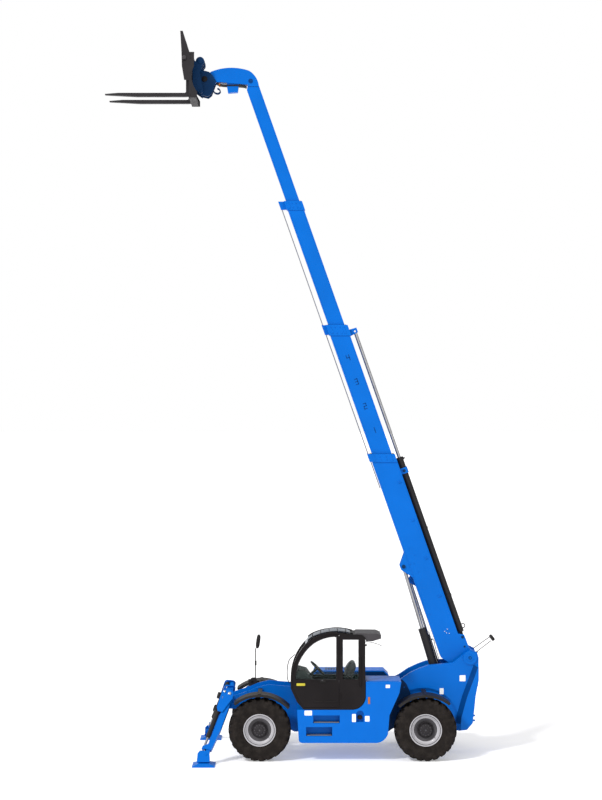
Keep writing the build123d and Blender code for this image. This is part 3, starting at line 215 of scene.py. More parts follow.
BLUE = (0.0, 0.121, 0.515)
M = {
    "blue": paint("blue_paint", BLUE, coat=0.02, spec=0.08),
    "blue_low": paint("blue_paint_low", BLUE, coat=0.02, spec=0.08, vary=0.05),
    # deep blue: the numerals' and the neck weld's own colour, and also painted shade on the counterweight cheek bevels
    # and in the neck hole
    "blue_deep": paint("deep_blue_paint_and_shade", (0.0, 0.045, 0.20), rough=0.42, coat=0.02, spec=0.1),
    # dark navy: the colour of the coupler, pins and caps, and also painted shade on the arch liners and the hood's
    # inner wall
    "blue_head": paint("navy_paint_and_shade", (0.0, 0.024, 0.085), rough=0.42, coat=0.03, spec=0.1),
    "black": paint("black_paint", (0.0095, 0.0075, 0.008), rough=0.45, coat=0.02, vary=0.2, spec=0.1),
    "charcoal": paint("charcoal_paint", (0.0245, 0.0225, 0.0245), rough=0.5, coat=0.01, vary=0.15, peel=0.12, spec=0.12),
    "axle": paint("axle_paint", (0.016, 0.015, 0.016), rough=0.55, coat=0.0, vary=0.3, spec=0.15),
    "cyl": paint("cylinder_paint", (0.019, 0.018, 0.019), rough=0.4, coat=0.03, vary=0.15, spec=0.12),
    "silver": paint("rim_paint", (0.42, 0.41, 0.43), rough=0.36, coat=0.2, vary=0.12, dust=0.0),
    "disc": paint("disc_paint", (0.06, 0.057, 0.061), rough=0.46, coat=0.03, vary=0.25, spec=0.2),
    "hub": paint("hub_paint", (0.02, 0.018, 0.02), rough=0.5, coat=0.02, vary=0.2, spec=0.15),
    "rubber": rubber("tyre_rubber", (0.0105, 0.0082, 0.0072)),
    "seal": rubber("seal_rubber", (0.012, 0.012, 0.012), 0.6),
    "hose": rubber("hose_rubber", (0.014, 0.014, 0.015), 0.5),
    "plastic": plastic("dark_plastic", (0.017, 0.0155, 0.0155)),
    "visor": plastic("visor_plastic", (0.052, 0.048, 0.052)),
    "dash": plastic("dash_plastic", (0.016, 0.020, 0.019), 0.55),
    "chrome": steel("chromed_rod", (0.36, 0.36, 0.37), 0.34),
    "rodgrey": steel("rod_steel", (0.33, 0.33, 0.35), 0.28),
    "zinc": steel("zinc_plate", (0.3, 0.3, 0.31), 0.42),
    "pin": steel("pin_steel", (0.46, 0.49, 0.5), 0.3),
    "iron": steel("engine_iron", (0.07, 0.07, 0.072), 0.6, 0.3),
    "glass": glass("cab_glass_tint", (0.10, 0.15, 0.14), 0.02, 0.05, 0.04, 0.12),
    "roofglass": glass("roof_glass_tint", (0.05, 0.073, 0.105), 0.2, 0.97, 0.05, 0.25),
    "cloth": cloth("seat_cloth", (0.028, 0.028, 0.03)),
    "label": plastic("blank_label", (0.78, 0.78, 0.78), 0.4, 500, 0.03),
    "labelyellow": plastic("blank_label_yellow", (0.5, 0.43, 0.04), 0.4, 500, 0.03),
    "orange": plastic("marker_orange", (0.42, 0.12, 0.01), 0.35, 500, 0.03),
    "lampred": plastic("lamp_red", (0.35, 0.01, 0.008), 0.15, 300, 0.02),
    "lampclear": plastic("lamp_clear", (0.7, 0.72, 0.72), 0.12, 300, 0.02),
}

NODE_MAT = {
    "blue_low": ["chassis_frame", "side_tank", "engine_pod", "outrigger_leg_left", "outrigger_leg_right", "outrigger_pad_left", "outrigger_pad_right"],
    "blue": ["boom_base", "boom_second", "boom_third", "boom_tip", "engine_hood", "counterweight"],
    "blue_head": ["coupler"],
    "charcoal": ["carriage_frame", "backrest", "fork_tines"],
    "black": ["cab_shell", "cab_door"],
    "cyl": ["extension_barrel", "lift_barrel", "comp_barrel", "outrigger_barrel_left", "outrigger_barrel_right"],
    "chrome": ["lift_rod", "comp_rod", "extension_rod"],
    "rodgrey": ["outrigger_rod_left", "outrigger_rod_right"],
    "zinc": ["slide_pipe_second", "slide_pipe_third"],
    "axle": ["front_axle", "rear_axle", "knuckle_fl", "knuckle_fr", "knuckle_rl", "knuckle_rr"],
    "glass": ["cab_glass", "door_glass"],
    "plastic": ["fenders", "mirrors", "steering_wheel"],
    "dash": ["cab_console"],
    "visor": ["roof_visor"],
    "iron": ["engine_block"],
    "cloth": ["cab_seat"],
    "rubber": ["tyre_fl", "tyre_fr", "tyre_rl", "tyre_rr"],
    "silver": ["rim_fl", "rim_fr", "rim_rl", "rim_rr"],
}
for key, names in NODE_MAT.items():
    for name in names:
        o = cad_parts[name]
        if not o.material_slots:
            o.data.materials.append(M[key])
        for sl in o.material_slots:
            sl.material = M[key]
for name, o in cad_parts.items():
    bev = o.modifiers.new("edge", "BEVEL")
    bev.width, bev.segments, bev.limit_method, bev.angle_limit = 0.0025, 2, "ANGLE", radians(38)
    bev.harden_normals = False


# ------------------------------------------------------------------ mesh helpers
class Mesh:
    """One piece, put together from simple closed forms; sizes in mm."""

    def __init__(self):
        self.bm = bmesh.new()
        self.mi = 0

    def _face(self, vs):
        try:
            f = self.bm.faces.new(vs)
            f.material_index = self.mi
            return f
        except ValueError:
            return None

    def loops(self, rings, closed_ring=True, cap=True):
        """Skins a list of rings (lists of Vector in metres) with the same count."""
        vv = [[self.bm.verts.new(p) for p in r] for r in rings]
        n = len(rings[0])
        for a, b in zip(vv, vv[1:]):
            for i in range(n if closed_ring else n - 1):
                j = (i + 1) % n
                self._face((a[i], a[j], b[j], b[i]))
        if cap:
            self._face(list(reversed(vv[0])))
            self._face(vv[-1])
        return self

    def box(self, x0, x1, y0, y1, z0, z1):
        return self.loops([[V(x0, y0, z), V(x1, y0, z), V(x1, y1, z), V(x0, y1, z)] for z in (z0, z1)])

    def prism(self, pts, y0, y1):
        """Outline in (X, Z), extruded along Y."""
        return self.loops([[V(x, y, z) for x, z in pts] for y in (y0, y1)])

    def prism_z(self, pts, z0, z1):
        return self.loops([[V(x, y, z) for x, y in pts] for z in (z0, z1)])

    def prism_at(self, pts, origin, ax, ay, az, h0, h1):
        """Outline in the plane (ax, ay) at origin, extruded along az; all mm."""
        o = Vector(origin)
        return self.loops([[(o + ax * p[0] + ay * p[1] + az * h) * MM for p in pts] for h in (h0, h1)])

    def cyl(self, a, b, r, n=24, r2=None, cap=True):
        a, b = Vector(a), Vector(b)
        d = (b - a).normalized()
        up = Vector((0, 0, 1)) if abs(d.z) < 0.9 else Vector((1, 0, 0))
        u = d.cross(up).normalized()
        w = d.cross(u)
        r2 = r if r2 is None else r2
        return self.loops([[(p + (u * cos(2 * pi * i / n) + w * sin(2 * pi * i / n)) * rr) * MM for i in range(n)] for p, rr in ((a, r), (b, r2))], cap=cap)

    def turned(self, origin, axis, section, n=48, closed=True):
        """Surface of revolution: section is (distance along axis, radius)."""
        o, d = Vector(origin), Vector(axis).normalized()
        up = Vector((0, 0, 1)) if abs(d.z) < 0.9 else Vector((1, 0, 0))
        u = d.cross(up).normalized()
        w = d.cross(u)
        rings = [[(o + d * a + (u * cos(2 * pi * i / n) + w * sin(2 * pi * i / n)) * max(r, 0.01)) * MM for i in range(n)] for a, r in section]
        if closed:
            rings.append(rings[0])
            vv = [[self.bm.verts.new(p) for p in r] for r in rings[:-1]]
            vv.append(vv[0])
            for a, b in zip(vv, vv[1:]):
                for i in range(n):
                    j = (i + 1) % n
                    self._face((a[i], a[j], b[j], b[i]))
            return self
        return self.loops(rings)

    def bolt(self, p, d, r=11, h=9, washer=True, n=6):
        p, d = Vector(p), Vector(d).normalized()
        if washer:
            self.cyl(p, p + d * 2.5, r * 1.35, 16)
        self.cyl(p + d * 2, p + d * (h * 0.8), r, n)
        return self.cyl(p + d * (h * 0.8), p + d * h, r, n, r * 0.82)

    def rail(self, pts, r, n=12):
        """Round bar through the points, with spherical-looking mitred turns."""
        P = [Vector(p) for p in pts]
        rings = []
        prev = None
        for i, p in enumerate(P):
            d = (P[min(i + 1, len(P) - 1)] - P[max(i - 1, 0)]).normalized()
            if prev is None:
                up = Vector((0, 0, 1)) if abs(d.z) < 0.9 else Vector((1, 0, 0))
                u = d.cross(up).normalized()
            else:
                u = (prev - d * prev.dot(d)).normalized()
            w = d.cross(u)
            prev = u
            rings.append([(p + (u * cos(2 * pi * k / n) + w * sin(2 * pi * k / n)) * r) * MM for k in range(n)])
        return self.loops(rings)

    def done(self, name, mats, body, bevel=None, smooth=35, subsurf=0):
        bmesh.ops.recalc_face_normals(self.bm, faces=self.bm.faces)
        me = bpy.data.meshes.new(name)
        self.bm.to_mesh(me)
        self.bm.free()
        for m in (mats if isinstance(mats, (list, tuple)) else [mats]):
            me.materials.append(M[m] if isinstance(m, str) else m)
        me.polygons.foreach_set("use_smooth", [True] * len(me.polygons))
        me.set_sharp_from_angle(angle=radians(smooth))
        o = bpy.data.objects.new(name, me)
        scene.collection.objects.link(o)
        if bevel:
            b = o.modifiers.new("edge", "BEVEL")
            b.width, b.segments, b.limit_method, b.angle_limit = bevel * MM, 2, "ANGLE", radians(38)
        if subsurf:
            s = o.modifiers.new("sub", "SUBSURF")
            s.levels = s.render_levels = subsurf
        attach(o, body)
        return o


def smooth_path(pts, per=8):
    """Catmull-Rom through the points."""
    P = [Vector(p) for p in pts]
    P = [P[0] * 2 - P[1]] + P + [P[-1] * 2 - P[-2]]
    out = []
    for i in range(1, len(P) - 2):
        a, b, c, d = P[i - 1:i + 3]
        for k in range(per):
            t = k / per
            out.append(0.5 * ((2 * b) + (c - a) * t + (2 * a - 5 * b + 4 * c - d) * t * t + (3 * b - a - 3 * c + d) * t ** 3))
    out.append(P[-2])
    return out


def hoses(name, paths, r, mat, body, per=8):
    m = Mesh()
    for path in paths:
        m.rail(smooth_path(path, per), r, 10)
    return m.done(name, mat, body)


# ------------------------------------------------------------------ camera, floor, light
cam = bpy.data.objects.new("camera", bpy.data.cameras.new("camera"))
scene.collection.objects.link(cam)
cam.location = (0.0, -41.0, 7.9)
cam.rotation_euler = (radians(90), 0, 0)
cam.data.sensor_width = 36.0
cam.data.lens = 82.0
cam.data.clip_start, cam.data.clip_end = 0.5, 2000.0
scene.camera = cam
scene.view_settings.view_transform = "Standard"

fl = Mesh()
fl.loops([[V(-400000, -400000, 0), V(400000, -400000, 0), V(400000, 400000, 0), V(-400000, 400000, 0)]], cap=False)
fl._face([v for v in fl.bm.verts])
floor_me = bpy.data.meshes.new("floor")
fl.bm.to_mesh(floor_me)
fl.bm.free()
floor = bpy.data.objects.new("floor", floor_me)
scene.collection.objects.link(floor)
nf = Nodes("floor_paper")
nf.link(nf.ramp(nf.noise(0.4, 2), [(0.2, (0.86, 0.855, 0.86)), (0.8, (0.88, 0.875, 0.88))]), nf.b.inputs["Base Color"])
nf.set(Roughness=0.9, Specular_IOR_Level=0.1, Emission_Color=(1.0, 1.0, 1.0, 1.0), Emission_Strength=0.25)   # a lightbox floor: soft light from below
floor_me.materials.append(nf.m)

world = bpy.data.worlds.new("studio")
world.use_nodes = True
# plain white backdrop; the soft ambient light it gives is weaker than it looks
wt = world.node_tree
lp = wt.nodes.new("ShaderNodeLightPath")
mr = wt.nodes.new("ShaderNodeMapRange")
mr.inputs["To Min"].default_value, mr.inputs["To Max"].default_value = 0.75, 1.0
wt.links.new(lp.outputs["Is Camera Ray"], mr.inputs["Value"])
wt.links.new(mr.outputs["Result"], wt.nodes["Background"].inputs["Strength"])
wt.nodes["Background"].inputs["Color"].default_value = (1.0, 1.0, 1.0, 1.0)
scene.world = world


def sun(name, direction, strength, angle, color=(1, 1, 1)):
    d = bpy.data.lights.new(name, "SUN")
    d.energy, d.angle, d.color = strength, radians(angle), color
    o = bpy.data.objects.new(name, d)
    o.rotation_euler = Vector(direction).to_track_quat("-Z", "Y").to_euler()
    scene.collection.objects.link(o)


sun("key", (0.62, 0.62, -0.80), 2.2, 9)
sun("fill", (-0.35, 0.9, -0.25), 0.35, 30)


# ------------------------------------------------------------------ wheels
HUBZ = 685.0
CORNERS = (("fl", -905.0, -1), ("fr", -905.0, 1), ("rl", 2725.0, -1), ("rr", 2725.0, 1))
WY = 1048.0
LUGS = 23


def wheel(tag, cx, s):
    centre = Vector((cx, s * WY, HUBZ))

    def at(y, r, a):
        """Point at distance y outward from the wheel's centre plane, radius r, angle a."""
        return Vector((cx + r * sin(a), s * (WY + y), HUBZ + r * cos(a))) * MM

    # carcass: crown, shoulder, sidewall with bulge, bead rib
    half = [(0, 652), (60, 651.5), (120, 648), (152, 641), (170, 628), (179, 608), (183, 585), (185.5, 560), (186, 532),
            (184, 500), (180, 474), (178, 470), (177.5, 462), (174, 446), (168, 424), (164, 419), (163, 411), (158, 392), (151.5, 368), (150.5, 330), (150, 307)]
    t = Mesh()
    sec = [(-y, r) for y, r in reversed(half[1:])] + half
    n = 96
    rings = [[at(y, r, 2 * pi * i / n) for i in range(n)] for y, r in sec]
    inner = [[at(y, r, 2 * pi * i / n) for i in range(n)] for y, r in ((130, 306), (-130, 306))]
    allr = rings + inner
    vv = [[t.bm.verts.new(p) for p in r] for r in allr]
    vv.append(vv[0])
    for a, b in zip(vv, vv[1:]):
        for i in range(n):
            j = (i + 1) % n
            t._face((a[i], a[j], b[j], b[i]))
    tyre = t.done("tyre_body_" + tag, "rubber", "wheel_" + tag, smooth=50)
    # lugs: long bars from the centre line over the shoulder and down the sidewall
    g = Mesh()
    # stations: y, outer radius, inner radius, half width (mm along the tread), sweep angle (degrees)
    st = [(-14, 684.0, 640, 30, -3.2), (10, 684.5, 640, 33, -1.6), (60, 684.5, 640, 35, 1.0), (110, 683.0, 636, 38, 3.4), (150, 677, 626, 42, 4.9),
          (172, 664, 612, 44, 5.6), (182, 643, 596, 43, 5.9), (186.8, 612, 574, 38, 6.1), (186.2, 590, 560, 30, 6.2)]
    for k in (0, 1):
        for i in range(LUGS):
            a0 = 2 * pi * (i + 0.5 * k) / LUGS
            sg = 1 if k == 0 else -1
            rings = []
            for y, ro, ri, hw, sw in st:
                c = a0 + radians(sw)
                wo, wi = hw / ro, (hw * 1.22) / ro
                yi = y if y < 150 else y - (y - 150) * 0.5 - 10
                rings.append([at(sg * y, ro, c - wo), at(sg * y, ro, c + wo), at(sg * yi, ri, c + wi), at(sg * yi, ri, c - wi)])
            g.loops(rings)
    lug = g.done("tyre_lugs_" + tag, "rubber", "wheel_" + tag, bevel=4.5, smooth=40)
    # sidewall ribs: thin raised rings
    r = Mesh()
    for y0, rad, w in ((184.6, 520, 3), (180.5, 480, 4), (166.5, 428, 4)):
        for sg in (-1, 1):
            r.turned((cx, s * WY + s * sg * y0, HUBZ), (0, s * sg, 0), [(-3, rad - w), (1.6, rad - w * 0.6), (1.6, rad + w * 0.6), (-3, rad + w)], 72)
    rib = r.done("tyre_ribs_" + tag, "rubber", "wheel_" + tag, smooth=60)
    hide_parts("tyre_" + tag)

    # rim: barrel and flanges, lock ring, disc
    o = (cx, s * WY, HUBZ)
    ax = (0, s, 0)
    m = Mesh()
    m.turned(o, ax, [(62, 285), (-160, 285), (-167, 342), (-167.5, 350), (-163, 354.5), (-156, 353), (-152, 346), (-151, 305), (-120, 303), (120, 303), (151, 305),
                     (152, 346), (156, 353), (163, 354.5), (167.5, 350), (167, 339), (161, 333), (154, 330), (147, 322), (141, 312), (132, 306), (112, 303), (106, 297),
                     (98, 292), (88, 280), (83, 262), (80, 240), (62, 238)], 96)
    rim = m.done("rim_barrel_" + tag, "silver", "wheel_" + tag, smooth=32)
    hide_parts("rim_" + tag)
    m = Mesh()
    m.turned(o, ax, [(150.0, 324), (157.5, 326), (160, 322), (157, 316), (150, 314)], 96)
    m.done("rim_lock_ring_" + tag, "disc", "wheel_" + tag, smooth=60)
    m = Mesh()
    m.turned(o, ax, [(40, 262), (76, 262), (86, 250), (88, 236), (84, 222), (70, 205), (62, 178), (62, 150), (40, 150)], 80)
    disc = m.done("rim_disc_" + tag, "disc", "wheel_" + tag, smooth=45)
    # hub: planetary casing with stepped face
    m = Mesh()
    m.turned(o, ax, [(25, 0), (25, 104), (40, 104), (40, 186), (58, 190), (66, 186), (68, 150), (92, 146), (118, 142), (140, 139), (150, 133), (153, 122),
                     (153, 84), (158, 76), (164, 70), (165.5, 52), (161, 46), (160, 0)], 72)
    hub = m.done("hub_" + tag, "hub", "wheel_" + tag, smooth=35)
    m = Mesh()
    for i in range(10):
        a = 2 * pi * (i + 0.5) / 10
        p = Vector((cx + 168 * sin(a), s * (WY + 66), HUBZ + 168 * cos(a)))
        m.cyl(p, p + Vector((0, s * 34, 0)), 8.5, 12)
        m.bolt(p, (0, s, 0), 15, 20)
    m.done("wheel_nuts_" + tag, "hub", "wheel_" + tag, bevel=1.0)
    m = Mesh()
    for i in range(12):
        a = 2 * pi * i / 12
        p = Vector((cx + 112 * sin(a), s * (WY + 152.5), HUBZ + 112 * cos(a)))
        m.bolt(p, (0, s, 0), 8.5, 9)
    for a, rr in ((0.6, 62), (0.6 + pi, 62)):
        p = Vector((cx + rr * sin(a), s * (WY + 159), HUBZ + rr * cos(a)))
        m.bolt(p, (0, s, 0), 9, 7)
    m.cyl((cx, s * (WY + 158), HUBZ), (cx, s * (WY + 165), HUBZ), 20, 24, 18)
    m.done("hub_bolts_" + tag, "disc", "wheel_" + tag, bevel=0.8)
    # valve stem
    m = Mesh()
    va = radians(130)
    p = Vector((cx + 268 * sin(va), s * (WY + 84), HUBZ + 268 * cos(va)))
    m.rail([p, p + Vector((0, s * 30, 0)), p + Vector((-18 * sin(va), s * 52, -18 * cos(va))), p + Vector((-30 * sin(va), s * 66, -30 * cos(va)))], 5, 10)
    m.done("valve_" + tag, "hose", "wheel_" + tag)


for tag, cx, s in CORNERS:
    wheel(tag, cx, s)


# ------------------------------------------------------------------ boom frame
PIV = Vector((3766.0, 0.0, 2158.0))
BA = radians(70.6)
BU = Vector((-cos(BA), 0.0, sin(BA)))
BN = Vector((sin(BA), 0.0, cos(BA)))
BY = Vector((0.0, 1.0, 0.0))


def BP(x, y, z):
    """Point in mm from boom coordinates: along the boom, across, above the pivot line."""
    return PIV + BU * x + BY * y + BN * z


def boom_box(m, x0, x1, y0, y1, z0, z1):
    return m.loops([[BP(x0, y0, z) * MM, BP(x1, y0, z) * MM, BP(x1, y1, z) * MM, BP(x0, y1, z) * MM] for z in (z0, z1)])


# body, mouth, height, width, collar length, extra below, above
BOOM = (("boom_base", 4923, 535, 420, 190, 46, 1), ("boom_second", 7992, 420, 335, 255, 104, 24), ("boom_third", 10939, 345, 270, 215, 140, 20))
for body, mouth, h, w, cl, low, high in BOOM:
    side_y = w / 2 + (22 if body == "boom_base" else 18)
    # bolt heads of the wear pads on both cheeks of the collar, and the edge of each pad at the mouth
    m = Mesh()
    for s in (-1, 1):
        for z in (-335 - h * 0.34, -335 - h * 0.12, -335 + h * 0.12, -335 + h * 0.34):
            for dx in (60, cl - 55):
                x = mouth - dx - (z + 335) * 0.352
                m.bolt(BP(x, s * side_y, z), (0, s, 0), 13, 10)
        for z in (-335 - h * 0.36, -335 + h * 0.30):
            x = mouth - cl * 0.5 - (z + 335) * 0.352
            boom_box(m, x - 70, x + 70, s * side_y, s * (side_y + 6), z - 26, z + 26)
    m.done("pad_bolts_" + body, "blue", body, bevel=1.0)
    m = Mesh()
    for s in (-1, 1):
        for z in (-335 - h * 0.5 + 30, -335 + h * 0.5 - 30):
            x = mouth - (z + 335) * 0.352
            boom_box(m, x - 6, x + 5, s * (w / 2 - 60), s * (w / 2 - 22), z - 22, z + 22)
    m.done("wear_pads_" + body, "plastic", body, bevel=1.5)

# weld seams along the lower and upper edges of each tube
for body, tail, mouth, h, w in (("boom_base", 1000, 4730, 535, 420), ("boom_second", 5300, 7720, 420, 335), ("boom_third", 8300, 10710, 345, 270), ("boom_tip", 11250, 13500, 285, 215)):
    m = Mesh()
    for s in (-1, 1):
        for z in (-335 - h / 2 + 26, -335 + h / 2 - 26):
            m.rail([BP(x, s * (w / 2 + 0.5), z) for x in range(tail, mouth, 240)], 3.6, 6)
    m.done("weld_seams_" + body, "blue", body)

# extension marks: small plain numerals down the second section
SEG = {"1": "bc", "2": "abged", "3": "abgcd", "4": "fgbc", "5": "afgcd", "6": "afgedc"}
m = Mesh()
for label, x in (("4", 7210), ("3", 6640), ("2", 6060), ("1", 5480)):
    for seg in SEG[label]:
        cx, cz, lx, lz = {"a": (62, 0, 9, 34), "d": (-62, 0, 9, 34), "g": (0, 0, 9, 34), "b": (31, 29, 38, 9), "c": (-31, 29, 38, 9), "f": (31, -29, 38, 9), "e": (-31, -29, 38, 9)}[seg]
        for s in (-1, 1):
            boom_box(m, x + cx - lx, x + cx + lx, s * 167.8, s * 168.6, -335 + s * -cz - lz, -335 + s * -cz + lz)
m.done("extension_marks", "blue_deep", "boom_second")

# base section: clips for the hoses, hoses, service bolts, grease nipples
m = Mesh()
for x in (1500, 2400, 3300, 4200):
    for s in (-1, 1):
        boom_box(m, x - 22, x + 22, s * 210, s * 222, -335 + 120, -335 + 200)
        m.bolt(BP(x, s * 222, -335 + 160), (0, s, 0), 11, 9)
m.done("hose_clips", "blue", "boom_base", bevel=1.2)
hoses("boom_hoses", [[BP(1350, s * 216, -335 + z), BP(1900, s * 218, -335 + z), BP(3000, s * 218, -335 + z), BP(4200, s * 218, -335 + z), BP(4600, s * 214, -335 + z)] for s in (1,) for z in (140, 180)], 9, "hose", "boom_base")
m = Mesh()
for x, z in ((2748, -462), (2549, -395), (2373, -472), (2393, -560), (2165, -445), (1180, -520)):
    m.bolt(BP(x, -210, z), (0, -1, 0), 13, 9)
m.done("boom_bolts", "blue", "boom_base", bevel=1.0)
m = Mesh()
for x, z in ((640, -250), (668, -305), (716, -330), (742, -262)):
    p = BP(x, -210, z)
    m.cyl(p, p + Vector((0, -14, 0)), 9, 16)
    m.cyl(p + Vector((0, -14, 0)), p + Vector((0, -22, 0)), 6, 12, 4)
m.done("grease_nipples", "label", "boom_base", bevel=0.8)
# bracket over the extension cylinder near its mouth, with its bolts, and a hose loop at its tail
m = Mesh()
for s in (-1, 1):
    boom_box(m, 4335, 4470, s * 80, s * 98, -66, 96)
boom_box(m, 4335, 4470, -98, 98, 88, 102)
m.done("extension_saddle", "blue", "boom_base", bevel=2)
m = Mesh()
for s in (-1, 1):
    m.turned(BP(4402, s * 98, 12), (0, s, 0), [(-1, 0), (-1, 34), (6, 34), (9, 28), (9, 0)], 28)
m.done("saddle_caps", "blue_head", "boom_base", bevel=1.0)
m = Mesh()
m.cyl(BP(4668, 0, 84), BP(4668, 0, 118), 20, 20)
m.cyl(BP(4668, 0, 112), BP(4668, 0, 130), 15, 6)
m.rail(smooth_path([BP(622, 0, 84), BP(632, 0, 128), BP(672, 0, 150), BP(712, 0, 132), BP(716, 0, 84)], 6), 10, 12)
m.done("extension_ports", "hose", "boom_base")
m = Mesh()
m.turned(BP(4640, 0, 12), BU, [(0, 77), (0, 86), (70, 86), (77, 80), (77, 77)], 40)
m.turned(BP(1400, 0, 12), BU, [(0, 77), (0, 84), (50, 84), (50, 77)], 40)
m.turned(BP(3000, 0, 12), BU, [(0, 77), (0, 84), (50, 84), (50, 77)], 40)
m.done("extension_gland", "cyl", "boom_base", bevel=1.5)

# goose neck: weld line, service hole drawn as a dark disc that paints the shade inside the hole, hose bundle underneath
m = Mesh()
for s in (-1, 1):
    m.rail([Vector((-1182, s * 108, 14931)), Vector((-1060, s * 108, 14932)), Vector((-938, s * 108, 14931))], 5, 8)
m.done("neck_weld", "blue_deep", "boom_tip")
m = Mesh()
for s in (-1, 1):
    m.turned((-1130, s * 107.5, 15058), (0, s, 0), [(-1, 0), (-1, 52), (5, 52), (5, 40), (1.5, 38), (1.5, 0)], 36)
    m.rail([(-1165, s * 112, 15090), (-1155, s * 114, 15050), (-1110, s * 114, 15040)], 7, 10)
m.done("neck_hole_shade", "blue_deep", "boom_tip")
hoses("neck_hoses", [
    [(-1900, y, 15016), (-1830, y, 14990), (-1740, y, 14972), (-1600, y, 14966), (-1440, y, 14964), (-1300, y, 14954), (-1225, y, 14934)] for y in (-92, -56, -18, 20, 58, 92)
], 17, "hose", "boom_tip")
hoses("neck_loops", [[(-1985, y, 14872), (-1935, y, 14806), (-1860, y, 14790), (-1815, y, 14832), (-1838, y, 14884), (-1880, y, 14902)] for y in (-70, 60)], 12, "blue_head", "fork_head")
m = Mesh()
for y in (-100, 100):
    m.cyl((-1845, y, 14985), (-1815, y, 14972), 20, 6)
m.done("neck_fittings", "orange", "boom_tip", bevel=1.5)

# ------------------------------------------------------------------ fork head
m = Mesh()
for s in (-1, 1):
    m.turned((-2157, s * 190, 15090), (0, s, 0), [(-2, 0), (-2, 62), (9, 62), (12, 56), (12, 0)], 36)
    for a in range(6):
        t = 2 * pi * a / 6
        m.bolt((-2157 + 44 * cos(t), s * 202, 15090 + 44 * sin(t)), (0, s, 0), 8, 7, washer=False)
m.done("fork_pivot_caps", "black", "fork_head", bevel=1.2)
m = Mesh()
for s in (-1, 1):
    m.turned((-2255, s * 330, 15465), (0, s, 0), [(-2, 0), (-2, 60), (10, 60), (14, 52), (14, 0)], 36)
    m.turned((-2232, s * 330, 14800), (0, s, 0), [(-2, 0), (-2, 34), (12, 34), (15, 28), (15, 0)], 28)
    for z in (14930, 15040, 15270, 15340):
        m.bolt((-2335, s * 330, z), (0, s, 0), 12, 9)
m.done("hook_pins", "blue_head", "fork_head", bevel=1.2)
m = Mesh()
for s in (-1, 1):
    for z in (14660, 15160, 15480, 15560):
        m.bolt((-2456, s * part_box("carriage_frame")[1][1] / MM, z), (0, s, 0), 14, 10)
m.done("carriage_bolts", "charcoal", "fork_head", bevel=1.0)
# grips of the fork locks on the side plates, each over a short slot
m = Mesh()
for s in (-1, 1):
    m.turned((-2588, s * 640, 15492), (0, s, 0), [(-2, 0), (-2, 46), (14, 50), (30, 40), (36, 22), (38, 0)], 36)
m.done("fork_lock_grips", "visor", "fork_head", bevel=1.0)
m = Mesh()
for s in (-1, 1):
    m.prism([(-2625, 15418), (-2560, 15408), (-2556, 15426), (-2622, 15437)], s * 639.5, s * 643)
m.done("fork_lock_slots", "black", "fork_head", bevel=1.0)

# ------------------------------------------------------------------ boom pivot and lift cylinders
m = Mesh()
for s in (-1, 1):
    m.turned((3766, s * 420, 2158), (0, s, 0), [(-1, 0), (-1, 92), (4, 92), (6, 88), (6, 66), (15, 62), (15, 40), (9, 36), (9, 0)], 48)
    for a in range(8):
        t = 2 * pi * (a + 0.5) / 8
        m.bolt((3766 + 78 * cos(t), s * 425, 2158 + 78 * sin(t)), (0, s, 0), 8, 7)
m.done("pivot_caps", "blue", "chassis", bevel=1.5)
m = Mesh()
for s in (-1, 1):
    m.turned((3766, s * 429, 2158), (0, s, 0), [(-1, 20), (-1, 34), (4, 34), (4, 20)], 36)
    for x, z in ((3660, 2236), (3838, 2270), (3872, 2190)):
        m.bolt((x, s * 390, z), (0, s, 0), 14, 11)
m.done("pivot_rings", "blue_head", "chassis", bevel=1.0)
# pins of the lift ear and of the extension cylinder's tail eye
m = Mesh()
for y, k in ((-228, -1),):
    p = BP(2387, y, -717)
    m.turned(p, (0, k, 0), [(-1, 0), (-1, 42), (8, 42), (11, 36), (11, 0)], 32)
for s in (-1, 1):
    m.turned(BP(462, s * 210, 4), (0, s, 0), [(-1, 0), (-1, 33), (5, 33), (8, 28), (8, 0)], 28)
    m.turned(BP(245, s * 210, -25), (0, s, 0), [(-1, 0), (-1, 22), (5, 22), (8, 18), (8, 0)], 24)
m.done("boom_pin_caps", "blue_head", "boom_base", bevel=1.0)
for tag, base, eye, r, mouth in (("lift", Vector((3206, -105, 1150)), BP(2387, -105, -717), 88, 1700), ("comp", Vector((3330, 140, 1170)), BP(2006, 140, -675), 48, 1500)):
    d = (eye - base).normalized()
    m = Mesh()
    m.turned(base + d * (mouth - 70), d, [(0, r + 1), (0, r + 3), (62, r + 3), (70, r + 2), (70, r + 1)], 40)
    m.turned(base + d * 130, d, [(0, r + 1), (0, r + 5), (26, r + 5), (26, r + 1)], 40)
    m.done("gland_" + tag, "cyl", tag + "_barrel", bevel=1.2)
    u = d.cross(BY).normalized()
    if u.x < 0:
        u = -u
    m = Mesh()
    for at in (190, mouth - 120):
        p = base + d * at + u * (r + 2)
        m.cyl(p - u * 4, p + u * 22, 17, 16)
        m.cyl(p + u * 20, p + u * 34, 13, 6)
    m.done("ports_" + tag, "zinc", tag + "_barrel", bevel=1.0)
    m = Mesh()
    m.rail(smooth_path([base + d * 190 + u * (r + 34), base + d * 250 + u * (r + 44), base + d * 500 + u * (r + 22), base + d * (mouth - 400) + u * (r + 22), base + d * (mouth - 180) + u * (r + 40), base + d * (mouth - 120) + u * (r + 34)]), 8, 10)
    m.done("pipe_" + tag, "zinc", tag + "_barrel")

# ------------------------------------------------------------------ cab
cab_lo, cab_hi = (Vector(p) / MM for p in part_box("cab_shell"))
door_lo, door_hi = (Vector(p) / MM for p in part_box("cab_door"))
SY = -820.0
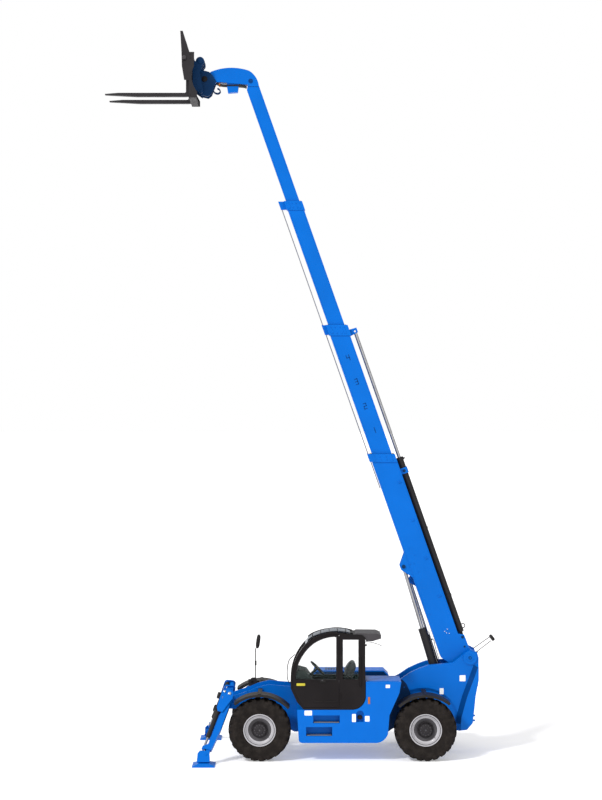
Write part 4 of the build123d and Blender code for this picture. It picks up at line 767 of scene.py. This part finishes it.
# roof glass: bars across it, and the seal along each edge
m = Mesh()
for x, z in ((250, 2722), (430, 2790), (620, 2828), (800, 2842), (980, 2824), (1130, 2790)):
    m.rail([(x, -1150, z), (x, -1000, z + 9), (x, -830, z + 12), (x, -660, z + 9), (x, -510, z)], 9, 10)
for y in (-1150, -510):
    m.rail(smooth_path([(150, y, 2650), (250, y, 2722), (430, y, 2790), (620, y, 2828), (800, y, 2842), (980, y, 2824), (1130, y, 2790)], 4), 11, 10)
m.done("roof_guard", "black", "chassis")
m = Mesh()
prof = [(95, 2560), (170, 2655), (290, 2739), (430, 2790), (620, 2834), (800, 2842), (960, 2826), (1075, 2796)]
m.loops([[V(x, y, z + 12 * (1 - ((y + 830) / 330) ** 2)) for y in (-1160, -1050, -940, -830, -720, -610, -500)] + [V(x, y, z - 6) for y in (-500, -610, -720, -830, -940, -1050, -1160)] for x, z in prof])
m.done("roof_panel", "roofglass", "chassis", smooth=60)
# grab rail beside the door opening, at the rear post
m = Mesh()
m.rail(smooth_path([(1296, -1222, 1650), (1296, -1250, 1670), (1296, -1256, 1800), (1296, -1256, 2150), (1296, -1250, 2280), (1296, -1222, 2300)], 6), 11, 12)
m.done("grab_rail", "black", "chassis")
# door: pull handle in a dished plate, lock, blank label, sill seam, window seal
m = Mesh()
yd = door_lo.y
m.prism([(415, 1738), (540, 1738), (540, 1796), (415, 1796)], yd + 2, yd - 4)
m.done("door_handle_plate", "plastic", "door", bevel=3)
m = Mesh()
m.rail(smooth_path([(432, yd - 3, 1762), (436, yd - 15, 1762), (480, yd - 17, 1764), (518, yd - 15, 1762), (524, yd - 3, 1762)], 5), 7, 10)
m.done("door_handle", "plastic", "door", bevel=0.6)
m = Mesh()
m.cyl((463, yd - 3, 1786), (463, yd - 10, 1786), 9, 16)
m.done("door_lock", "zinc", "door", bevel=0.6)
m = Mesh()
m.prism([(-90, 1664), (82, 1664), (90, 1672), (90, 1712), (82, 1720), (-90, 1720), (-98, 1712), (-98, 1672)], yd + 1, yd - 2)
m.done("blank_label_door", "labelyellow", "door")
m = Mesh()
m.rail([(180, yd - 1, 1792), (780, yd - 1, 1792)], 5, 8)
m.rail([(240, yd - 1, 1320), (780, yd - 1, 1320)], 4, 8)
m.done("door_seams", "seal", "door")
# rubber strip on the hinge post, behind the gap at the door's edge
m = Mesh()
m.prism_z([(812, -1165), (850, -1165), (850, -1155), (836, -1152), (812, -1159)], 1790, 2738)
m.done("door_post_seal", "seal", "chassis")
# wiper of the rear pane and its motor
m = Mesh()
m.rail(smooth_path([(1396, -960, 2582), (1450, -960, 2588), (1540, -960, 2576), (1650, -960, 2548), (1770, -960, 2502)], 5), 6, 8)
m.box(1396, 1446, -1000, -930, 2500, 2530)
m.done("rear_wiper", "black", "chassis")

# seat: two padded pieces, pressed from inside like a filled cover
def pillow(name, centre, along, up, w, length, thick):
    """Crowned closed form: rounded plan, sides pulled in between its corners."""
    out = Vector((0, 1, 0))
    c, a, n = Vector(centre), Vector(along).normalized(), Vector(up).normalized()
    bm = bmesh.new()
    rings, N = [], 40
    for k in range(9):
        t = -1 + 2 * k / 8
        f = (1 - abs(t) ** 3.2) ** 0.36 if abs(t) < 1 else 0.0
        f = 0.80 + 0.20 * f
        ring = []
        for i in range(N):
            q = 2 * pi * i / N
            e = 0.42
            px = (abs(cos(q)) ** e) * (1 if cos(q) >= 0 else -1)
            py = (abs(sin(q)) ** e) * (1 if sin(q) >= 0 else -1)
            pull = 1 - 0.035 * (abs(sin(2 * q)) < 0.5)
            ring.append(bm.verts.new((c + out * px * w / 2 * f * pull + a * py * length / 2 * f * pull + n * t * thick / 2) * MM))
        rings.append(ring)
    for p, q in zip(rings, rings[1:]):
        for i in range(N):
            j = (i + 1) % N
            bm.faces.new((p[i], p[j], q[j], q[i]))
    bm.faces.new(list(reversed(rings[0])))
    bm.faces.new(rings[-1])
    bmesh.ops.recalc_face_normals(bm, faces=bm.faces)
    me = bpy.data.meshes.new(name)
    bm.to_mesh(me)
    bm.free()
    o = bpy.data.objects.new(name, me)
    scene.collection.objects.link(o)
    return o


def press(o, mat):
    """Fill the cover: fine even mesh, cloth pressure, movement capped, one smoothing."""
    bpy.context.view_layer.objects.active = o
    rm = o.modifiers.new("even", "REMESH")
    rm.mode, rm.voxel_size = "VOXEL", 0.006
    dg = bpy.context.evaluated_depsgraph_get()
    me = bpy.data.meshes.new_from_object(o.evaluated_get(dg))
    o.modifiers.clear()
    o.data = me
    before = [v.co.copy() for v in me.vertices]
    cl = o.modifiers.new("cover", "CLOTH")
    cl.settings.use_pressure = True
    cl.settings.uniform_pressure_force = 4.0
    cl.settings.effector_weights.gravity = 0.0
    cl.settings.tension_stiffness = cl.settings.compression_stiffness = 15
    cl.point_cache.frame_start, cl.point_cache.frame_end = 1, 20
    for f in range(1, 21):
        scene.frame_set(f)
    dg = bpy.context.evaluated_depsgraph_get()
    sim = bpy.data.meshes.new_from_object(o.evaluated_get(dg))
    if len(sim.vertices) == len(before):
        for v, p in zip(me.vertices, before):
            d = sim.vertices[v.index].co - p
            v.co = p + d * min(1.0, 0.014 / max(d.length, 1e-9))
    o.modifiers.clear()
    scene.frame_set(1)
    me.polygons.foreach_set("use_smooth", [True] * len(me.polygons))
    me.materials.clear()
    me.materials.append(M[mat])
    sub = o.modifiers.new("sub", "SUBSURF")
    sub.levels = sub.render_levels = 1
    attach(o, "chassis")
    return o


cushion = press(pillow("seat_cushion", (875, SY, 1632), (1, 0, 0.05), (0, 0, 1), 470, 410, 118), "cloth")
def bolster(name, side, y0, y1, r):
    """Closed pad from a side outline (X, Z), its corners rounded all round."""
    bm = bmesh.new()
    near = [bm.verts.new((x * MM, y0 * MM, z * MM)) for x, z in side]
    far = [bm.verts.new((x * MM, y1 * MM, z * MM)) for x, z in side]
    bm.faces.new(near)
    bm.faces.new(list(reversed(far)))
    for i in range(len(side)):
        j = (i + 1) % len(side)
        bm.faces.new((near[j], near[i], far[i], far[j]))
    bmesh.ops.recalc_face_normals(bm, faces=bm.faces)
    bmesh.ops.bevel(bm, geom=bm.edges[:], offset=r * MM, segments=5, profile=0.5, affect="EDGES", clamp_overlap=True)
    me = bpy.data.meshes.new(name)
    bm.to_mesh(me)
    bm.free()
    o = bpy.data.objects.new(name, me)
    scene.collection.objects.link(o)
    return o


back = press(bolster("seat_back", [(994, 1712), (1118, 1712), (1138, 1880), (1198, 2020), (1188, 2134), (1116, 2154), (1066, 2104), (990, 1998), (968, 1900)], SY - 212, SY + 212, 34), "cloth")
m = Mesh()
m.box(760, 985, SY - 150, SY + 150, 1205, 1230)
for i in range(6):
    z = 1235 + i * 50
    m.prism_z([(768 + (i % 2) * 14, SY - 140), (976 - (i % 2) * 14, SY - 140), (976 - (i % 2) * 14, SY + 140), (768 + (i % 2) * 14, SY + 140)], z, z + 46)
m.box(730, 1010, SY - 190, SY + 190, 1540, 1570)
m.box(1030, 1070, SY - 60, SY + 60, 1570, 1700)
m.done("seat_base", "plastic", "chassis", bevel=3)
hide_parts("cab_seat")
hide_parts("cab_seat")
m = Mesh()
for s in (-1, 1):
    m.prism([(880, 1800), (1110, 1810), (1110, 1852), (875, 1842)], SY + s * 235, SY + s * 285)
    m.rail([(1100, SY + s * 260, 1820), (1110, SY + s * 222, 1770)], 12, 10)
m.done("arm_rests", "plastic", "chassis", bevel=10)
m = Mesh()
m.rail(smooth_path([(910, SY + 262, 1845), (905, SY + 262, 1905), (895, SY + 262, 1945)], 5), 9, 12)
m.turned((895, SY + 262, 1940), (-0.1, 0, 1), [(0, 0), (0, 14), (20, 21), (50, 20), (64, 10), (66, 0)], 20)
m.done("joystick", "black", "chassis")
# two round gauges, switches, pedals
m = Mesh()
for dy in (-70, 70):
    m.turned((28, SY + dy, 1978), (0.40, 0, 0.91), [(-6, 0), (-6, 44), (6, 44), (6, 38), (1, 36), (1, 0)], 28)
m.done("gauges", "plastic", "chassis", bevel=0.8)
m = Mesh()
for i in range(6):
    m.box(150, 170, -1120 + i * 34, -1096 + i * 34, 1890, 1902)
m.done("dash_switches", "label", "chassis", bevel=1.5)
m = Mesh()
for dy in (-110, 60):
    m.prism_at([(-40, -55), (40, -55), (40, 55), (-40, 55)], (150, SY + dy, 1270), Vector((0, 1, 0)), Vector((0.5, 0, 0.86)), Vector((-0.86, 0, 0.5)), 0, 8)
    m.rail([(150, SY + dy, 1262), (90, SY + dy, 1330), (60, SY + dy, 1420)], 7, 8)
m.done("pedals", "plastic", "chassis", bevel=1.5)

# guard rail in front of the windscreen, at its left edge
m = Mesh()
m.rail(smooth_path([(-128, -1185, 2340), (-170, -1185, 2310), (-255, -1185, 2222), (-296, -1185, 2060), (-300, -1185, 1860), (-268, -1185, 1740), (-222, -1185, 1722)], 6), 9, 12)
m.done("front_rail", "black", "chassis")

# ------------------------------------------------------------------ mirrors
# bracket at the foot of the front mirror: housing, work lamp and position stalk
m = Mesh()
m.prism([(-1185, 1452), (-1150, 1420), (-1010, 1460), (-1000, 1560), (-1040, 1600), (-1120, 1596), (-1170, 1540)], 334, 400)
m.turned((-1180, 400, 1512), (-1, 0, 0), [(-30, 0), (-30, 48), (6, 52), (16, 50), (18, 0)], 32)
m.cyl((-1100, 334, 1500), (-1100, 430, 1500), 34, 24)
m.rail([(-1175, 380, 1490), (-1240, 380, 1440), (-1316, 380, 1386)], 9, 10)
m.done("mirror_bracket", "plastic", "chassis", bevel=4)
m = Mesh()
m.rail([(-1042, 336, 1401), (-1042, 700, 1504), (-1042, 885, 1556), (-1042, 900, 1585), (-1042, 900, 2180)], 12, 14)
m.box(-1062, -1022, 881, 919, 1805, 1900)
m.rail([(-1042, 900, 2180), (-1034, 900, 2205), (-1000, 900, 2290)], 8, 12)
m.rail([(3838, -360, 2358), (4205, -360, 2618)], 8, 12)
m.rail([(3925, -372, 2296), (4236, -372, 2535)], 8, 12)
m.cyl((3925, -372, 2266), (3925, -372, 2300), 14, 16)
arms = m.done("mirror_arms", "black", "chassis")
m = Mesh()
# head centre, half sizes across, through and along, lean of the long axis in X per Z
for cx, cy, cz, w, d, h, lean in ((-985, 900, 2350, 46, 34, 168, 0.13), (4258, -360, 2600, 39, 92, 80, -0.75)):
    la = Vector((lean, 0, 1)).normalized()
    wa = Vector((la.z, 0, -la.x))
    rings = []
    for k in range(13):
        t = -1 + k / 6
        f = (1 - abs(t) ** 3.5) ** 0.4 if abs(t) < 1 else 0.02
        rings.append([(Vector((cx, cy, cz)) + la * (h * t) + wa * (w * f * (abs(cos(a)) ** 0.6) * (1 if cos(a) >= 0 else -1)) + BY * (d * f * (abs(sin(a)) ** 0.6) * (1 if sin(a) >= 0 else -1))) * MM for a in [2 * pi * i / 28 for i in range(28)]])
    m.loops(rings)
heads = m.done("mirror_heads", "plastic", "chassis", smooth=50)
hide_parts("mirrors")
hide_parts("mirrors")

# ------------------------------------------------------------------ frame and tank
def plate(m, x0, x1, z0, z1, y, s=-1, t=1.2):
    m.prism([(x0 + 8, z0), (x1 - 8, z0), (x1, z0 + 8), (x1, z1 - 8), (x1 - 8, z1), (x0 + 8, z1), (x0, z1 - 8), (x0, z0 + 8)], y, y + s * t)


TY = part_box("side_tank")[0][1] / MM
m = Mesh()
for x0, x1, z0, z1 in ((76, 240, 1012, 1118), (1114, 1198, 869, 1044), (1397, 1496, 880, 1000), (1849, 1943, 1611, 1683)):
    plate(m, x0, x1, z0, z1, TY)
m.done("blank_labels_tank", "label", "chassis")
m = Mesh()
for x0, x1, z0, z1 in ((3534, 3667, 1632, 1766), (3089, 3178, 1343, 1477)):
    plate(m, x0, x1, z0, z1, -390)
m.done("blank_labels_tower", "label", "chassis")
m = Mesh()
m.box(1464, 1506, TY - 9, TY, 1264, 1413)
for x in (1700, 700):
    m.turned((x, 1200, 1338), (0, 1, 0), [(0, 0), (0, 38), (6, 36), (9, 28), (9, 0)], 32)
m.done("side_markers", "orange", "chassis")
# step treads of three slats with cross bars, in the two recesses
m = Mesh()
for x0, x1, z, dep in ((280, 832, 852, 140), (125, 668, 572, 180)):
    for k in range(3):
        y0 = TY + 14 + k * dep / 3
        m.box(x0, x1, y0, y0 + dep / 3 - 14, z, z + 9)
    for i in range(9):
        x = x0 + 30 + i * (x1 - x0 - 60) / 8
        m.box(x - 7, x + 7, TY + 10, TY + dep - 4, z + 9, z + 16)
m.done("step_treads", "zinc", "chassis", bevel=1.2)
# filler cap in its pocket
m = Mesh()
m.turned((1288, TY + 88, 960), (0, -1, 0), [(0, 0), (0, 52), (18, 52), (22, 46), (40, 46), (46, 40), (46, 0)], 40)
for a in range(10):
    t = 2 * pi * a / 10
    m.cyl((1288 + 47 * cos(t), TY + 68, 960 + 47 * sin(t)), (1288 + 47 * cos(t), TY + 44, 960 + 47 * sin(t)), 4, 8)
m.done("filler_cap", "black", "chassis", bevel=1.0)
# painted shade in the darker blue on the bevel of the counterweight cheeks, and a dark navy liner ahead of the rear
# wheels that paints the shade on the frame plate there
m = Mesh()
for s in (-1, 1):
    rings = []
    for (xa, za), (xb, zb) in zip(((3450, 700), (3465, 850), (3590, 1300), (3740, 1700), (3850, 2000)), ((3550, 700), (3565, 850), (3690, 1300), (3840, 1700), (3930, 1960))):
        rings.append([V(xa + 3, s * 391, za), V(xa - 2, s * 394, za), V(xb - 2, s * 513, zb), V(xb + 3, s * 510, zb)])
    m.loops(rings)
m.done("cheek_bevel_shade", "blue_deep", "chassis")
m = Mesh()
for s in (-1, 1):
    m.prism([(1950, 520), (1950, 1560), (2040, 1592), (2214, 1680), (2214, 760), (2150, 640)], s * 331, s * 393)
    m.prism([(2214, 780), (2214, 1676), (2268, 1664), (2351, 1572), (2443, 1360), (2400, 1200), (2300, 960)], s * 390.5, s * 393)
m.done("arch_shade_liners", "blue_head", "chassis")
# dark navy plate with bars along the hood's inner side wall: painted shade of that wall
m = Mesh()
m.prism([(330, 1574), (1975, 1574), (1975, 1600), (1890, 1690), (330, 1690)], 659, 653)
for i in range(26):
    m.box(360 + i * 60, 366 + i * 60, 647, 654, 1580, 1684)
m.done("hood_wall_shade_grille", "blue_head", "hood", bevel=0.8)
# bolts along the tank's lower edge and higher on the tank, and on the frame
m = Mesh()
for x in (120, 420, 760, 1060, 1380):
    m.bolt((x, TY, 455), (0, -1, 0), 10, 8)
for x, z in ((1480, 1620), (2080, 1640), (1480, 1700), (2120, 1705)):
    m.bolt((x, TY, z), (0, -1, 0), 9, 7)
for s in (-1, 1):
    for x, z in ((-1620, 1240), (-1500, 1120), (-1320, 1090), (-1200, 1400), (2300, 1500), (2480, 1640)):
        m.bolt((x, s * 330 if x < 2000 else s * 390, z), (0, s, 0), 13, 10)
m.done("frame_bolts", "blue", "chassis", bevel=1.0)
# lights: head lamps on the nose, tail lamps on the tower
m = Mesh()
for s in (-1, 1):
    m.turned((-1742, s * 250, 1130), (-1, 0, 0), [(-4, 0), (-4, 58), (20, 62), (34, 60), (38, 50), (38, 0)], 36)
m.done("head_lamps", "lampclear", "chassis", bevel=1.0)
m = Mesh()
for s in (-1, 1):
    for k in range(3):
        m.box(3948, 3962, s * 200 - 34, s * 200 + 34, 1500 + k * 62, 1554 + k * 62)
m.done("tail_lamps", "lampred", "chassis", bevel=5)

# ------------------------------------------------------------------ engine side
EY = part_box("engine_pod")[1][1] / MM
m = Mesh()
for i in range(11):
    z = 900 + i * 42
    m.prism_at([(0, 0), (560, 0), (560, 26), (0, 26)], (620, EY, z), Vector((1, 0, 0)), Vector((0, 0.35, -0.94)), Vector((0, 0.94, 0.35)), 0, 4)
m.done("engine_louvres", "black", "chassis", bevel=0.8)
m = Mesh()
for x0, x1, z0, z1 in ((560, 1240, 850, 1400), (1300, 1800, 850, 1400)):
    for a, b in (((x0, z0), (x1, z0)), ((x1, z0), (x1, z1)), ((x1, z1), (x0, z1)), ((x0, z1), (x0, z0))):
        m.rail([(a[0], EY + 0.5, a[1]), (b[0], EY + 0.5, b[1])], 4, 8)
m.done("engine_door_seams", "seal", "chassis")
m = Mesh()
for x in (900, 1550):
    m.prism([(x - 40, 1420), (x + 40, 1420), (x + 40, 1448), (x - 40, 1448)], EY, EY + 7)
    m.cyl((x, EY + 7, 1434), (x, EY + 12, 1434), 9, 16)
m.done("engine_latches", "zinc", "chassis", bevel=2)
m = Mesh()
for i in range(9):
    m.box(560 + i * 60, 596 + i * 60, 780, 1080, 1716, 1722)
m.done("hood_vents", "black", "hood", bevel=1.5)
m = Mesh()
m.turned((1740, 440, 1486), (0, 0, 1), [(0, 26), (0, 34), (120, 34), (130, 30), (130, 26)], 32)
m.turned((1740, 440, 1486), (0, 0, 1), [(20, 35), (20, 52), (90, 52), (100, 40), (100, 35)], 32)
m.done("exhaust", "black", "chassis", bevel=1.0)

# ------------------------------------------------------------------ axles
for tag, cx, near in (("front", -905, -1), ("rear", 2725, 1)):
    m = Mesh()
    for s in (-1, 1):
        for k in range(8):
            t = 2 * pi * k / 8
            m.bolt((cx + 92 * cos(t), s * 640, 685 + 92 * sin(t)), (0, s, 0), 9, 8)
    m.turned((cx, 0, 685), (-near * 1.0, 0, 0), [(-150, 0), (-150, 150), (-120, 165), (60, 165), (120, 130), (170, 96), (190, 60), (190, 0)], 40)
    m.done("diff_housing_" + tag, "axle", "chassis", bevel=2)
m = Mesh()
m.cyl((-700, 0, 690), (300, 0, 640), 34, 20)
m.cyl((2500, 0, 690), (1100, 0, 640), 34, 20)
for x, z in ((-700, 690), (300, 640), (2500, 690), (1100, 640)):
    m.cyl((x - 30, 0, z), (x + 30, 0, z), 58, 24)
m.done("drive_shafts", "axle", "chassis", bevel=2)
m = Mesh()
m.box(320, 1080, -150, 150, 530, 760)
for i in range(5):
    m.box(360 + i * 150, 376 + i * 150, -156, 156, 524, 766)
m.done("transfer_box", "iron", "chassis", bevel=8)

# ------------------------------------------------------------------ outriggers
for tag, s in (("left", -1), ("right", 1)):
    def lp(a, d, h=0.0, s=s):
        """Outrigger swing plane: across, down along the legs, out of the plane."""
        return Vector((-1575 - a, s * (690 + d * 0.5848 + h * 0.8111), 1365 - d * 0.8111 + h * 0.5848))
    nrm = Vector((0, s * 0.8111, 0.5848))
    m = Mesh()
    for a, d, r in ((0, 0, 34), (110, -50, 26)):
        p = lp(a, d)
        for k in (-1, 1):
            m.turned(p + nrm * (k * 104), nrm * k, [(-2, 0), (-2, r), (7, r), (10, r - 5), (10, 0)], 28)
    m.done("outrigger_pins_" + tag, "pin", "chassis", bevel=1.0)
    base, eye = lp(110, -50), lp(545, 1290)
    d = (eye - base).normalized()
    u = d.cross(nrm).normalized()
    blo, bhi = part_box("outrigger_barrel_" + tag)
    m = Mesh()
    p = base + d * 150
    m.prism_at([(-34, -30), (34, -30), (34, 30), (-34, 30)], p + nrm * 44, d, u, nrm, 0, 42)
    m.done("outrigger_valve_" + tag, "hub", "outrigger_barrel_" + tag, bevel=3)
    m = Mesh()
    for k in (-16, 16):
        q = p + d * k + nrm * 84
        m.cyl(q, q + nrm * 12, 10, 6)
        m.cyl(q + nrm * 10, q + nrm * 20, 7, 12)
    m.done("outrigger_fittings_" + tag, "zinc", "outrigger_barrel_" + tag, bevel=0.8)
